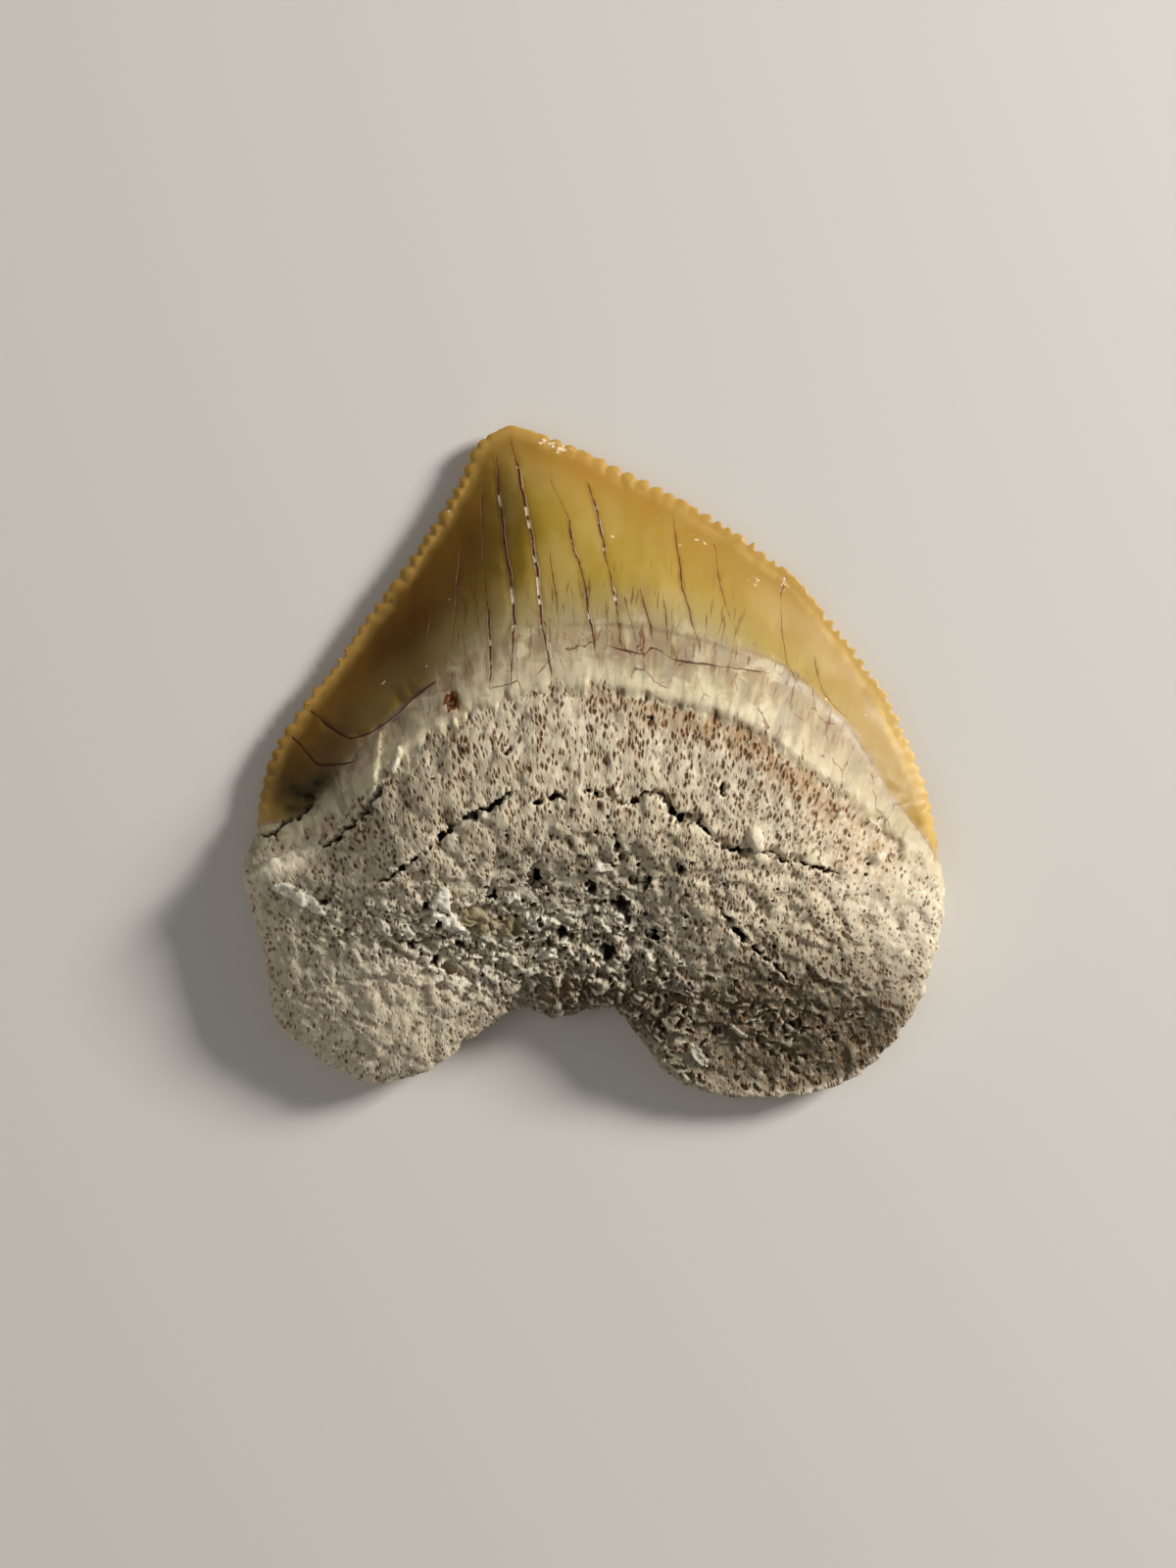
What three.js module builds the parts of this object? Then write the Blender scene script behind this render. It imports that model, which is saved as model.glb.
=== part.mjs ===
// Fossil tooth of a crow shark: one grown piece, a serrated enamel crown on a thick porous root.
// It lies on its flat outer (labial) face with its swollen inner (lingual) face up.
// Millimetres, +Z up, X across the tooth, +Y from the root towards the crown's tip.
// The origin is below the middle of the bounding box, on the surface that the tooth lies on.
//
// The skin is two height fields, one for each face, that meet in a shared rim. Corners are scattered
// over each face, closer where there is more to show, and joined into triangles.
import * as THREE from "three";
import { ConvexHull } from "three/addons/math/ConvexHull.js";

const { clamp, lerp, smoothstep } = THREE.MathUtils;

// ---------------------------------------------------------------- driving dimensions, in mm

// The outline, clockwise from the tip, about the middle of the bounding box.
const MESIAL_EDGE = [
  [-3.25, 13.0], [-1.3, 12.38], [2.0, 10.85], [4.85, 9.3], [7.1, 7.75],
  [9.2, 5.6], [10.95, 3.25], [12.15, 0.9], [12.95, -1.3], [13.3, -3.2],
];
const ROOT_OUTLINE = [
  [13.3, -3.2], [13.5, -5.6], [13.1, -7.6], [12.4, -9.5], [10.9, -11.6],
  [8.8, -12.75], [6.3, -13.0], [4.2, -12.75], [2.6, -11.85], [1.75, -10.55],
  [0.9, -9.75], [0.1, -9.5], [-0.6, -9.75], [-1.4, -9.95], [-2.1, -9.65],
  [-2.9, -9.55], [-3.9, -10.1], [-5.0, -10.9], [-6.1, -11.7], [-7.3, -12.3],
  [-8.8, -12.4], [-10.2, -11.75], [-11.6, -10.75], [-12.4, -9.6],
  [-12.55, -8.2], [-12.95, -6.6], [-13.25, -5.3], [-13.5, -4.4], [-13.05, -2.7],
];
const DISTAL_EDGE = [
  [-13.05, -2.7], [-12.9, -1.2], [-12.3, 0.65], [-10.55, 3.15], [-8.95, 5.35],
  [-7.3, 7.6], [-5.75, 9.95], [-4.95, 11.45], [-4.45, 12.35], [-3.25, 13.0],
];

const EDGE_RISE = 0.75; // height of the cutting edge above the surface that the tooth lies on
const EDGE_HALF = 0.06; // half the thickness left at the very cutting edge
const BLADE_SLOPE = 0.36; // how fast the crown thickens from its edge on the upper face
const BLADE_SWELL = 0.1; // and how that slope itself grows inwards
const BLADE_BEVEL = 0.55; // slope of the lower face from the edge, until it meets the flat
const CROWN_MEETING = 1.4; // how softly the cutting edge runs into the body
const ROOT_MEETING = 0.7;
const ROOT_MIDDLE = 1.2; // height of the middle of the root's rounded side wall
const ROOT_ROUND = 1.5; // radius of the root's upper shoulder
const SHOULDER_SLOPE = 0.12;
const SHOULDER_SWELL = 0.05;

const SERRATION_DEPTH = 0.22;
const SERRATION_PITCH = 0.54;
const SERRATION_REACH = 0.45; // how far in from the edge a serration can be felt
const SERRATION_BEAD = 0.1; // how much each serration thickens the blade
const LOBE_PHASES = [0, 0.2, 0.42, 0.64, 0.84]; // samples along one serration
const LOBE_PEAK = 0.58; // serrations lean towards the root
const MESIAL_WEAR = [[0.52, 0.035], [0.13, 0.02], [0.3, 0.015]]; // [place, reach] as shares of the edge
const DISTAL_WEAR = [[0.42, 0.02]];

// The upper face's height along the middle of the tooth, as [y, z].
const MIDDLE_SECTION = [
  [-13.5, 1.9], [-9.8, 3.0], [-6.4, 4.5], [-2.6, 5.5], [1.0, 5.0],
  [4.5, 3.9], [9.0, 2.6], [13.2, 1.4],
];
const RIDGE_AT = -0.8; // x of the crown's ridge at its foot
const RIDGE_LEAN = 0.19; // how far the ridge leans sideways per mm of the crown's height
const ROOT_ARCH = 0.015; // the swelling bends towards the root's ends by this times x squared
const ROOT_FALL = 0.0155; // the face falls sideways by this times the distance from the ridge squared
const DISTAL_FALL = 0.042;
const MESIAL_FALL = 0.02;
const HEEL_DROP = 0.45; // the thin blade by each heel lies lower than the neck beside it
const LEAST_BODY = 1.15;

// Hollows and lumps of the upper face: [x, y, radius across, radius along, height].
const FORMS = [
  [-4.0, -7.2, 3.6, 1.5, -0.6], [1.2, -6.8, 0.9, 2.4, -0.4], [8.2, -8.6, 3.2, 2.6, 0.35],
  [-8.8, -10.6, 3.0, 2.0, 0.45], [-2.6, -6.0, 1.0, 0.8, -0.3], [-4.4, -6.1, 0.6, 0.5, 0.35],
  [-6.0, -5.2, 0.9, 0.5, 0.2], [-10.7, -5.6, 1.3, 0.5, 0.18], [6.0, -3.1, 0.4, 0.5, 0.25],
  [11.3, -3.3, 1.0, 0.9, 0.2], [-0.6, -8.6, 1.2, 0.6, -0.25], [3.4, -9.6, 0.8, 1.2, 0.25],
  [6.6, -12.4, 4.4, 2.2, -0.6],
];
const LOWER_HOLLOW = [-0.4, -7.6, 5.0, 2.6, 0.5]; // between the two lobes, on the lower face
const CONTACT = 0.08; // what is hollowed less than this lies flat
const LOWER_RUN = 0.3; // how softly the lower face runs into the flat

// Steps down along a line, from the crown's side to the root's: the enamel's hem, the porous root's
// ledge, and the hem on the lower face, where the enamel overhangs the root.
const ENAMEL_HEM = {
  line: [
    [-12.7, -2.7], [-10.8, -1.3], [-9.5, -0.2], [-8.5, 1.0], [-7.0, 2.3], [-4.7, 4.1], [-2.0, 5.0],
    [1.2, 5.1], [4.4, 4.5], [7.3, 3.2], [9.6, 1.4], [11.4, -0.9], [12.8, -3.2],
  ],
  depth: 0.1, fade: 1.0,
};
const ROOT_LEDGE = {
  line: [
    [-13.0, -3.8], [-11.0, -2.6], [-9.5, -1.6], [-8.1, -0.4], [-6.8, 0.7], [-5.2, 1.7], [-2.9, 2.5],
    [0.3, 2.75], [2.3, 2.4], [4.2, 1.9], [6.2, 1.1], [8.1, -0.3], [10.1, -1.8], [12.0, -3.4], [13.1, -4.6],
  ],
  depth: 0.24, fade: 1.8,
};
const LOWER_HEM = {
  line: [[-12.6, -3.4], [-9, -2.3], [-5, -1.4], [0, -1.0], [5, -1.5], [9, -2.6], [12.8, -4.0]],
  depth: 0.28, fade: 2.6,
};
const STEP_WIDTH = 0.14;

// Cracks, each a depth and [x, y, half its width]. The first five cross the root, the rest the crown.
const CRACKS = [
  { depth: 0.75, path: [
    [-8.35, -4.7, 0.05], [-7.1, -4.0, 0.1], [-5.8, -3.0, 0.08], [-5.2, -2.4, 0.09],
    [-3.65, -1.65, 0.15], [-2.85, -1.15, 0.06]] },
  { depth: 0.6, path: [[-2.3, -1.65, 0.05], [-1.8, -1.5, 0.13], [-1.3, -1.5, 0.06]] },
  { depth: 0.75, path: [
    [-0.3, -1.1, 0.05], [1.4, -1.6, 0.08], [2.25, -1.25, 0.08], [2.8, -1.6, 0.12], [3.1, -2.15, 0.18],
    [3.8, -2.2, 0.09], [4.5, -2.9, 0.1], [5.4, -3.4, 0.16], [6.5, -3.5, 0.1], [7.9, -3.9, 0.08],
    [9.7, -4.5, 0.05]] },
  { depth: 0.5, path: [[-10.7, -3.3, 0.05], [-9.5, -2.4, 0.09], [-8.5, -1.9, 0.1], [-8.2, -1.0, 0.05]] },
  { depth: 0.5, path: [[4.9, -5.9, 0.1], [6.1, -7.2, 0.07], [7.1, -8.0, 0.06], [7.3, -8.5, 0.05]] },
  { depth: 0.3, path: [
    [-3.85, 12.0, 0.05], [-3.75, 10.5, 0.06], [-3.35, 7.5, 0.07], [-3.1, 5.8, 0.08], [-3.25, 3.3, 0.05]] },
  { depth: 0.3, path: [
    [-3.1, 11.9, 0.05], [-2.6, 9.8, 0.07], [-2.3, 7.6, 0.07], [-2.15, 6.4, 0.07], [-1.85, 4.6, 0.05]] },
  { depth: 0.25, path: [[0.1, 9.4, 0.05], [0.4, 8.3, 0.06], [0.65, 7.1, 0.06], [0.9, 5.6, 0.05]] },
  { depth: 0.35, path: [
    [-10.7, 1.7, 0.05], [-9.7, 0.95, 0.08], [-8.9, 0.95, 0.1], [-7.8, 1.55, 0.12], [-7.0, 2.3, 0.1],
    [-6.3, 2.9, 0.05]] },
];
const CRACK_WANDER = 0.08;

// Open vessel holes and losses: [x, y, radius across, radius along, depth].
const PITS = [
  [-2.15, -4.35, 0.4, 0.55, 1.1], [1.65, -4.6, 0.3, 0.35, 0.6], [1.05, -3.75, 0.22, 0.3, 0.5],
  [-0.2, -2.8, 0.2, 0.25, 0.45], [-3.8, -5.05, 0.25, 0.3, 0.5], [2.3, -6.6, 0.3, 0.3, 0.6],
  [2.1, 1.35, 0.18, 0.28, 0.4], [-5.35, 2.2, 0.3, 0.4, 0.4], [-10.9, -1.5, 0.35, 0.3, 0.3],
  [5.4, -9.7, 0.25, 0.25, 0.5], [7.6, -10.2, 0.25, 0.22, 0.5], [-5.6, -8.0, 0.35, 0.25, 0.5],
  [4.0, -5.2, 0.2, 0.28, 0.4], [9.4, -7.2, 0.2, 0.2, 0.4], [-8.2, -7.4, 0.25, 0.2, 0.4],
];
const LOWER_PITS = [
  [-3.1, -4.6, 0.22, 0.35, 0.35], [2.4, -5.3, 0.25, 0.3, 0.35], [6.6, -6.4, 0.2, 0.3, 0.3],
  [-7.4, -6.0, 0.22, 0.3, 0.3], [0.1, -7.6, 0.3, 0.4, 0.4], [-9.6, -8.3, 0.2, 0.25, 0.3],
  [9.3, -9.4, 0.22, 0.25, 0.3], [4.6, -3.2, 0.18, 0.3, 0.3],
];
const PORES = { tries: 150, radius: [0.12, 0.2], drawnOut: 1.7, depth: 0.3, apart: 1.05 };

// Spacing of the skin's corners.
const ROOT_OUTLINE_STEP = 0.42;
const CRACK_STEP = 0.6;
const LEDGE_STEP = 0.5;
const HEM_STEP = 0.6;
const LOWER_HEM_STEP = 0.8;
const ROOT_SPACING = 0.42;
const CROWN_SPACING = 0.85;
const LOWER_ROOT_SPACING = 0.85;
const LOWER_CROWN_SPACING = 1.5;

// ---------------------------------------------------------------- small helpers

const vectors = (points) => points.map(([x, y]) => new THREE.Vector2(x, y));
const curveOf = (points) => new THREE.SplineCurve(vectors(points));
const chainOf = (points) => points.slice(1).map((b, i) => [points[i], b]);
const closedChainOf = (points) => chainOf([...points, points[0]]);

// A repeatable number from 0 to 1 for a whole number.
const scatter = (n) => {
  const s = Math.sin(n * 127.1 + 311.7) * 43758.5453;
  return s - Math.floor(s);
};

// The lesser of two heights, rounded where they meet over a span k.
const softMin = (a, b, k) => {
  const h = Math.max(k - Math.abs(a - b), 0) / k;
  return Math.min(a, b) - (h * h * k) / 4;
};
const softMax = (a, b, k) => -softMin(-a, -b, k);

const bump = (x, y, [cx, cy, rx, ry, height]) =>
  height * Math.exp(-(((x - cx) / rx) ** 2) - ((y - cy) / ry) ** 2);
const fading = (distance, reach) => Math.exp(-((distance / reach) ** 2));
const apart = ([x, y], [otherX, otherY]) => Math.hypot(x - otherX, y - otherY);

// Reads a smooth curve through [x, y] points as y at a given x.
function readerOf(points) {
  const line = curveOf(points).getPoints(points.length * 12);
  return (x) => {
    const i = clamp(line.findIndex((p) => p.x >= x), 1, line.length - 1);
    const [a, b] = [line[i - 1], line[i]];
    return lerp(a.y, b.y, clamp((x - a.x) / (b.x - a.x), 0, 1));
  };
}

// Finds the nearest place on a chain of segments: how far it is, on which segment, how far along it.
function nearestOn(segments, x, y) {
  let found = { distance: Infinity };
  segments.forEach(([a, b], index) => {
    const [dx, dy] = [b.x - a.x, b.y - a.y];
    const along = clamp(((x - a.x) * dx + (y - a.y) * dy) / (dx * dx + dy * dy), 0, 1);
    const distance = Math.hypot(x - a.x - along * dx, y - a.y - along * dy);
    if (distance < found.distance) found = { distance, index, along };
  });
  return found;
}

const middleHeight = readerOf(MIDDLE_SECTION);
const enamelHem = readerOf(ENAMEL_HEM.line);
const rootLedge = readerOf(ROOT_LEDGE.line);
const lowerHem = readerOf(LOWER_HEM.line);

// ---------------------------------------------------------------- the rim, point by point

// One serration: 0 in the notch, 1 at its point.
function serration(phase) {
  const fromPeak = phase < LOBE_PEAK ? 1 - phase / LOBE_PEAK : (phase - LOBE_PEAK) / (1 - LOBE_PEAK);
  return Math.cos((Math.PI / 2) * fromPeak) ** 0.8;
}

// A cutting edge, sampled LOBE_PHASES to a serration. Serrations fade at the tip and by the root.
function cuttingEdge(points, { fromTip, wear, seed }) {
  const curve = curveOf(points);
  const lobes = Math.round(curve.getLength() / SERRATION_PITCH);
  const widths = Array.from({ length: lobes }, (_, i) => 0.78 + 0.44 * scatter(seed + i));
  const whole = widths.reduce((a, b) => a + b, 0);
  let start = 0;
  return widths.flatMap((width, i) => {
    const tall = 0.7 + 0.6 * scatter(seed + 50 + i);
    const places = LOBE_PHASES.map((phase) => {
      const u = (start + phase * width) / whole;
      const down = fromTip ? u : 1 - u; // share of the way from the tip to the root
      const fresh = wear.reduce((left, [at, reach]) => left * (1 - 0.85 * fading(down - at, reach)), 1);
      const grown = smoothstep(down, 0.02, 0.1) * lerp(1, 0.45, smoothstep(down, 0.8, 0.97));
      const notch = (1 - serration(fromTip ? phase : 1 - phase)) * tall * fresh * grown;
      const root = 0.5 * smoothstep(down, 0.93, 1);
      return { at: curve.getPointAt(u), along: curve.getTangentAt(u), root, notch, inNotch: phase === 0 };
    });
    start += width;
    return places;
  });
}

function rootEdge(points) {
  const curve = curveOf(points);
  const count = Math.round(curve.getLength() / ROOT_OUTLINE_STEP);
  return Array.from({ length: count }, (_, i) => {
    const u = i / count;
    const fromCrown = Math.min(u, 1 - u) * curve.getLength();
    const root = 0.5 + 0.5 * smoothstep(fromCrown, 0, 1.6);
    const worn = 0.07 * (scatter(700 + i) - 0.5) + 0.06 * Math.sin(i * 1.9) * Math.sin(i * 0.73 + 1);
    const notch = worn / SERRATION_DEPTH;
    return { at: curve.getPointAt(u), along: curve.getTangentAt(u), root, notch, inNotch: true };
  });
}

// The whole rim, clockwise from the tip. root is 0 on the crown and 1 on the root.
const rim = [
  ...cuttingEdge(MESIAL_EDGE, { fromTip: true, wear: MESIAL_WEAR, seed: 1 }),
  ...rootEdge(ROOT_OUTLINE),
  ...cuttingEdge(DISTAL_EDGE, { fromTip: false, wear: DISTAL_WEAR, seed: 200 }),
];
const rimSegments = closedChainOf(rim.map((p) => p.at));

// What the rim is like nearest to a place: how far off it is, how much it is root, and how deep a notch.
function rimBeside(x, y) {
  const { distance, index, along } = nearestOn(rimSegments, x, y);
  const [p, q] = [rim[index], rim[(index + 1) % rim.length]];
  return { inset: distance, root: lerp(p.root, q.root, along), notch: lerp(p.notch, q.notch, along) };
}

// ---------------------------------------------------------------- what is cut into the faces

// A crack with extra places between its own, wandering a little.
function roughened({ depth, path }, seed) {
  const between = chainOf(path).flatMap(([from, to], i) => {
    const length = apart(from, to);
    const count = Math.max(1, Math.round(length / CRACK_STEP));
    return Array.from({ length: count }, (_, k) => {
      const t = (k + 1) / count;
      const aside = t === 1 ? 0 : (CRACK_WANDER * (2 * scatter(seed * 31 + i * 7 + k) - 1)) / length;
      return [
        lerp(from[0], to[0], t) - aside * (to[1] - from[1]),
        lerp(from[1], to[1], t) + aside * (to[0] - from[0]),
        lerp(from[2], to[2], t),
      ];
    });
  });
  const places = [path[0], ...between];
  return { depth, places, segments: chainOf(vectors(places)) };
}
const cracks = CRACKS.map(roughened);

const fromCracks = (x, y) => Math.min(...cracks.map(({ segments }) => nearestOn(segments, x, y).distance));

// How deep the cracks are at a place. Each runs out over the last step at both its ends.
function crackDepth(x, y) {
  return Math.max(...cracks.map(({ depth, places, segments }) => {
    const { distance, index, along } = nearestOn(segments, x, y);
    const half = lerp(places[index][2], places[index + 1][2], along);
    const fromEnd = Math.min(index + along, segments.length - index - along);
    return depth * clamp(fromEnd, 0, 1) * clamp(1 - distance / half, 0, 1);
  }));
}

// Small vessel holes scattered over the root, drawn out along its fibres near the ledge.
const pores = Array.from({ length: PORES.tries }, (_, i) => {
  const x = lerp(-12, 12.4, scatter(900 + i));
  const y = lerp(-12, 1.8, scatter(1400 + i));
  const radius = lerp(...PORES.radius, scatter(1900 + i));
  const drawnOut = lerp(1, PORES.drawnOut, smoothstep(y - rootLedge(x), -5, -1));
  return [x, y, radius, radius * drawnOut, PORES.depth];
})
  .filter(([x, y]) => rootLedge(x) - y > 0.6 && rimBeside(x, y).inset > 1)
  .filter((pore, i, all) => all.slice(0, i).every((other) => apart(pore, other) > PORES.apart))
  .filter((pore) => PITS.every((other) => apart(pore, other) > PORES.apart + other[2]))
  .filter(([x, y]) => crackDepth(x, y) === 0);
const upperHoles = [...PITS, ...pores];

const holeDepth = (holes, x, y) =>
  holes.reduce((sum, [cx, cy, rx, ry, depth]) => {
    const r = Math.hypot((x - cx) / rx, (y - cy) / ry);
    return sum + depth * Math.max(0, 1 - r * r);
  }, 0);

// A step down below a line, above being how far the place lies above it.
const stepDown = (above, { depth, fade }) =>
  depth * (1 - smoothstep(above, -STEP_WIDTH / 2, STEP_WIDTH / 2)) * Math.exp(Math.min(above, 0) / fade);

// ---------------------------------------------------------------- the two faces, as heights

// The swollen form of the upper face, before the edges cut it off.
function dome(x, y) {
  const crown = smoothstep(y, -1, 5);
  const off = x - RIDGE_AT + RIDGE_LEAN * Math.max(0, y);
  const fall = lerp(ROOT_FALL, off < 0 ? DISTAL_FALL : MESIAL_FALL, crown);
  const heel = smoothstep(y - enamelHem(x), -0.2, 1.8) * smoothstep(Math.abs(off), 4.5, 7);
  const formed = FORMS.reduce((sum, form) => sum + bump(x, y, form), 0);
  const middle = middleHeight(y + ROOT_ARCH * x * x * (1 - crown));
  const body = middle - fall * off * off + formed - HEEL_DROP * heel * (1 - 0.4 * crown);
  return softMax(body, LEAST_BODY, 0.5);
}

// Unevenness of weathered bone.
const uneven = (x, y) =>
  0.07 * Math.sin(1.7 * x + 0.6 * y) * Math.sin(1.9 * y - 0.5 * x + 1.1) +
  0.05 * Math.sin(3.1 * x - 2.3 * y + 0.7) * Math.sin(2.7 * y + 1.3 * x) +
  0.05 * Math.sin(4.9 * x + 1.9) * Math.sin(4.3 * y + 0.6 * x);

// A rounded shoulder of the given radius, seen from the side.
const shoulder = (inset, radius) => radius * Math.sqrt(1 - (1 - Math.min(inset / radius, 1)) ** 2);

function upperHeight(x, y) {
  const { inset, root, notch } = rimBeside(x, y);
  const bead = SERRATION_BEAD * (0.5 - notch) * fading(inset - 0.25, SERRATION_REACH);
  const blade = EDGE_RISE + EDGE_HALF + BLADE_SLOPE * inset + BLADE_SWELL * inset ** 2 + bead;
  const swell = SHOULDER_SLOPE * inset + SHOULDER_SWELL * inset ** 2;
  const wall = ROOT_MIDDLE + shoulder(inset, ROOT_ROUND) + swell;
  const bone = 1 - smoothstep(y - rootLedge(x), -0.5, 0.1);
  const body = dome(x, y) + uneven(x, y) * bone;
  const whole = softMin(body, lerp(blade, wall, root), lerp(CROWN_MEETING, ROOT_MEETING, root));
  const steps = stepDown(y - enamelHem(x), ENAMEL_HEM) + stepDown(y - rootLedge(x), ROOT_LEDGE);
  const clear = smoothstep(inset, 0.3, 1.5) * smoothstep(fromCracks(x, y), 0.1, 0.5);
  return whole - steps * clear - crackDepth(x, y) - holeDepth(upperHoles, x, y);
}

// The lower face lies flat, and its root is hollowed between the two lobes and the enamel's hem.
function lowerHeight(x, y) {
  const { inset, root } = rimBeside(x, y);
  const bone = 1 - smoothstep(y - lowerHem(x), -0.4, 0);
  const furrows = 0.6 * uneven(x + 5, y) + 0.04 * Math.sin(2.6 * x);
  const hollow = bump(x, y, LOWER_HOLLOW) + stepDown(y - lowerHem(x), LOWER_HEM) + bone * furrows - CONTACT;
  const blade = EDGE_RISE - EDGE_HALF - BLADE_BEVEL * inset;
  const wall = ROOT_MIDDLE - shoulder(inset, ROOT_MIDDLE);
  const flat = Math.max(hollow + holeDepth(LOWER_PITS, x, y), 0);
  return softMax(flat, lerp(blade, wall, root), LOWER_RUN);
}

// ---------------------------------------------------------------- the skin's corners

function rimCorner({ at, along, notch }, inset) {
  const inward = new THREE.Vector2(along.y, -along.x);
  return at.clone().addScaledVector(inward, inset + SERRATION_DEPTH * notch * fading(inset, SERRATION_REACH));
}
const rimCorners = rim.map((p) => rimCorner(p, 0));
const outlineSegments = closedChainOf(rimCorners);

// Counts how often a ray to the right crosses the serrated outline.
function isInside(x, y) {
  const crossed = outlineSegments.filter(([a, b]) =>
    a.y > y !== b.y > y && x < a.x + ((y - a.y) / (b.y - a.y)) * (b.x - a.x));
  return crossed.length % 2 === 1;
}

// Corners on both lips of a step.
function stepCorners({ line }, spacing) {
  const curve = curveOf(line);
  return curve.getSpacedPoints(Math.round(curve.getLength() / spacing)).flatMap(({ x, y }) => [
    new THREE.Vector2(x, y + STEP_WIDTH / 2), new THREE.Vector2(x, y - STEP_WIDTH / 2),
  ]);
}

// Corners on both lips and along the bottom of a crack.
const crackCorners = ({ places }) =>
  places.flatMap(([x, y, half], i) => {
    const middle = new THREE.Vector2(x, y);
    if (i === 0 || i === places.length - 1) return [middle];
    const [before, after] = [places[i - 1], places[i + 1]];
    const side = new THREE.Vector2(before[1] - after[1], after[0] - before[0]).setLength(half);
    return [middle, middle.clone().add(side), middle.clone().sub(side)];
  });

// Corners in the middle of a hole and on rings around it, each ring a share of its radius and a count.
const holeCorners = (rings) => ([cx, cy, rx, ry]) => [
  new THREE.Vector2(cx, cy),
  ...rings.flatMap(([share, count]) => Array.from({ length: count }, (_, i) => {
    const turn = ((i + share) / count) * 2 * Math.PI;
    return new THREE.Vector2(cx + rx * share * Math.cos(turn), cy + ry * share * Math.sin(turn));
  })),
];

// Corners all over a face, each shaken a little off a grid and told how much room it wants.
function fieldCorners(spacingAt, finest) {
  const rows = Math.ceil(26 / (finest * 0.866));
  const columns = Math.ceil(27 / finest);
  return Array.from({ length: rows * columns }, (_, n) => {
    const [i, j] = [n % columns, Math.floor(n / columns)];
    const x = -13.5 + finest * (i + (j % 2) / 2 + 0.3 * (scatter(j * 97 + i) - 0.5));
    const y = -13 + finest * (j * 0.866 + 0.3 * (scatter(j * 89 + i * 3 + 11) - 0.5));
    return Object.assign(new THREE.Vector2(x, y), { room: spacingAt(x, y) * 0.78 });
  });
}

const withRoom = (corners, room) => corners.map((corner) => Object.assign(corner, { room }));
const nearRim = (inset, wanted) => rim.filter(wanted).map((p) => rimCorner(p, inset));
const everyPoint = () => true;
const onePerSerration = (p) => p.inNotch;

// Keeps the corners that have room around them, earlier ones first. Those told no room all stay.
function spaced(corners, leastInset) {
  const kept = [];
  for (const corner of corners) {
    const { x, y, room = 0 } = corner;
    const fits = room === 0 || (isInside(x, y) && rimBeside(x, y).inset >= leastInset);
    if (fits && kept.every((other) => other.distanceTo(corner) > Math.max(room, 0.03))) kept.push(corner);
  }
  return kept;
}

// Triangles between corners, anticlockwise from above: the underside of their hull once lifted onto a bowl.
function triangulate(corners) {
  const lifted = corners.map(({ x, y }) => new THREE.Vector3(x, y, x * x + y * y));
  const numbers = new Map(lifted.map((point, i) => [point, i]));
  const underside = new ConvexHull().setFromPoints(lifted).faces.filter((face) => face.normal.z < 0);
  return underside
    .map(({ edge }) => [edge.next, edge, edge.prev].map((e) => numbers.get(e.head().point)))
    .filter((triangle) => {
      const [x, y] = ["x", "y"].map((axis) => triangle.reduce((sum, i) => sum + corners[i][axis] / 3, 0));
      return isInside(x, y);
    });
}

function upperCorners() {
  const spacing = (x, y) => lerp(ROOT_SPACING, CROWN_SPACING, smoothstep(y - rootLedge(x), 0, 1.2));
  return spaced([
    ...rimCorners,
    ...nearRim(0.26, everyPoint),
    ...cracks.flatMap(crackCorners),
    ...PITS.flatMap(holeCorners([[0.6, 5], [1, 7]])),
    ...pores.flatMap(holeCorners([[1, 5]])),
    ...withRoom(stepCorners(ROOT_LEDGE, LEDGE_STEP), 0.12),
    ...withRoom(stepCorners(ENAMEL_HEM, HEM_STEP), 0.12),
    ...withRoom(nearRim(0.62, onePerSerration), 0.22),
    ...withRoom(nearRim(1.1, onePerSerration), 0.35),
    ...fieldCorners(spacing, ROOT_SPACING),
  ], 0.2);
}

function lowerCorners() {
  const spacing = (x, y) => (y < lowerHem(x) ? LOWER_ROOT_SPACING : LOWER_CROWN_SPACING);
  return spaced([
    ...rimCorners,
    ...withRoom(stepCorners(LOWER_HEM, LOWER_HEM_STEP), 0.12),
    ...LOWER_PITS.flatMap(holeCorners([[0.5, 4], [1, 7]])),
    ...withRoom(nearRim(0.35, onePerSerration), 0.2),
    ...withRoom(nearRim(0.9, onePerSerration), 0.5),
    ...withRoom(nearRim(1.4, onePerSerration), 0.6),
    ...fieldCorners(spacing, 0.7 * LOWER_ROOT_SPACING),
  ], 0.25);
}

// Both faces begin with the rim's corners, which they share.
function skin() {
  const upper = upperCorners();
  const lower = lowerCorners();
  const rimHeights = rim.map((p) => lerp(EDGE_RISE, ROOT_MIDDLE, p.root));
  const positions = [
    ...upper.map(({ x, y }, i) => [x, y, rimHeights[i] ?? upperHeight(x, y)]),
    ...lower.slice(rim.length).map(({ x, y }) => [x, y, lowerHeight(x, y)]),
  ];
  const lowerNumber = (i) => (i < rim.length ? i : i + upper.length - rim.length);
  const indices = [
    ...triangulate(upper),
    ...triangulate(lower).map(([a, b, c]) => [a, c, b].map(lowerNumber)),
  ];
  const geometry = new THREE.BufferGeometry();
  geometry.setAttribute("position", new THREE.Float32BufferAttribute(positions.flat(), 3));
  geometry.setIndex(indices.flat());
  return geometry;
}

// ---------------------------------------------------------------- the tooth

function tooth() {
  const geometry = skin();
  geometry.computeBoundingBox();
  const { min, max } = geometry.boundingBox;
  geometry.translate(-(min.x + max.x) / 2, -(min.y + max.y) / 2, -min.z);
  geometry.computeVertexNormals();
  const apatite = new THREE.MeshStandardMaterial({ color: 0xb9a06a, roughness: 0.6, metalness: 0 });
  const mesh = new THREE.Mesh(geometry, apatite);
  mesh.name = "tooth";
  return mesh;
}

const specimen = new THREE.Group();
specimen.add(tooth());

export default specimen;
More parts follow.
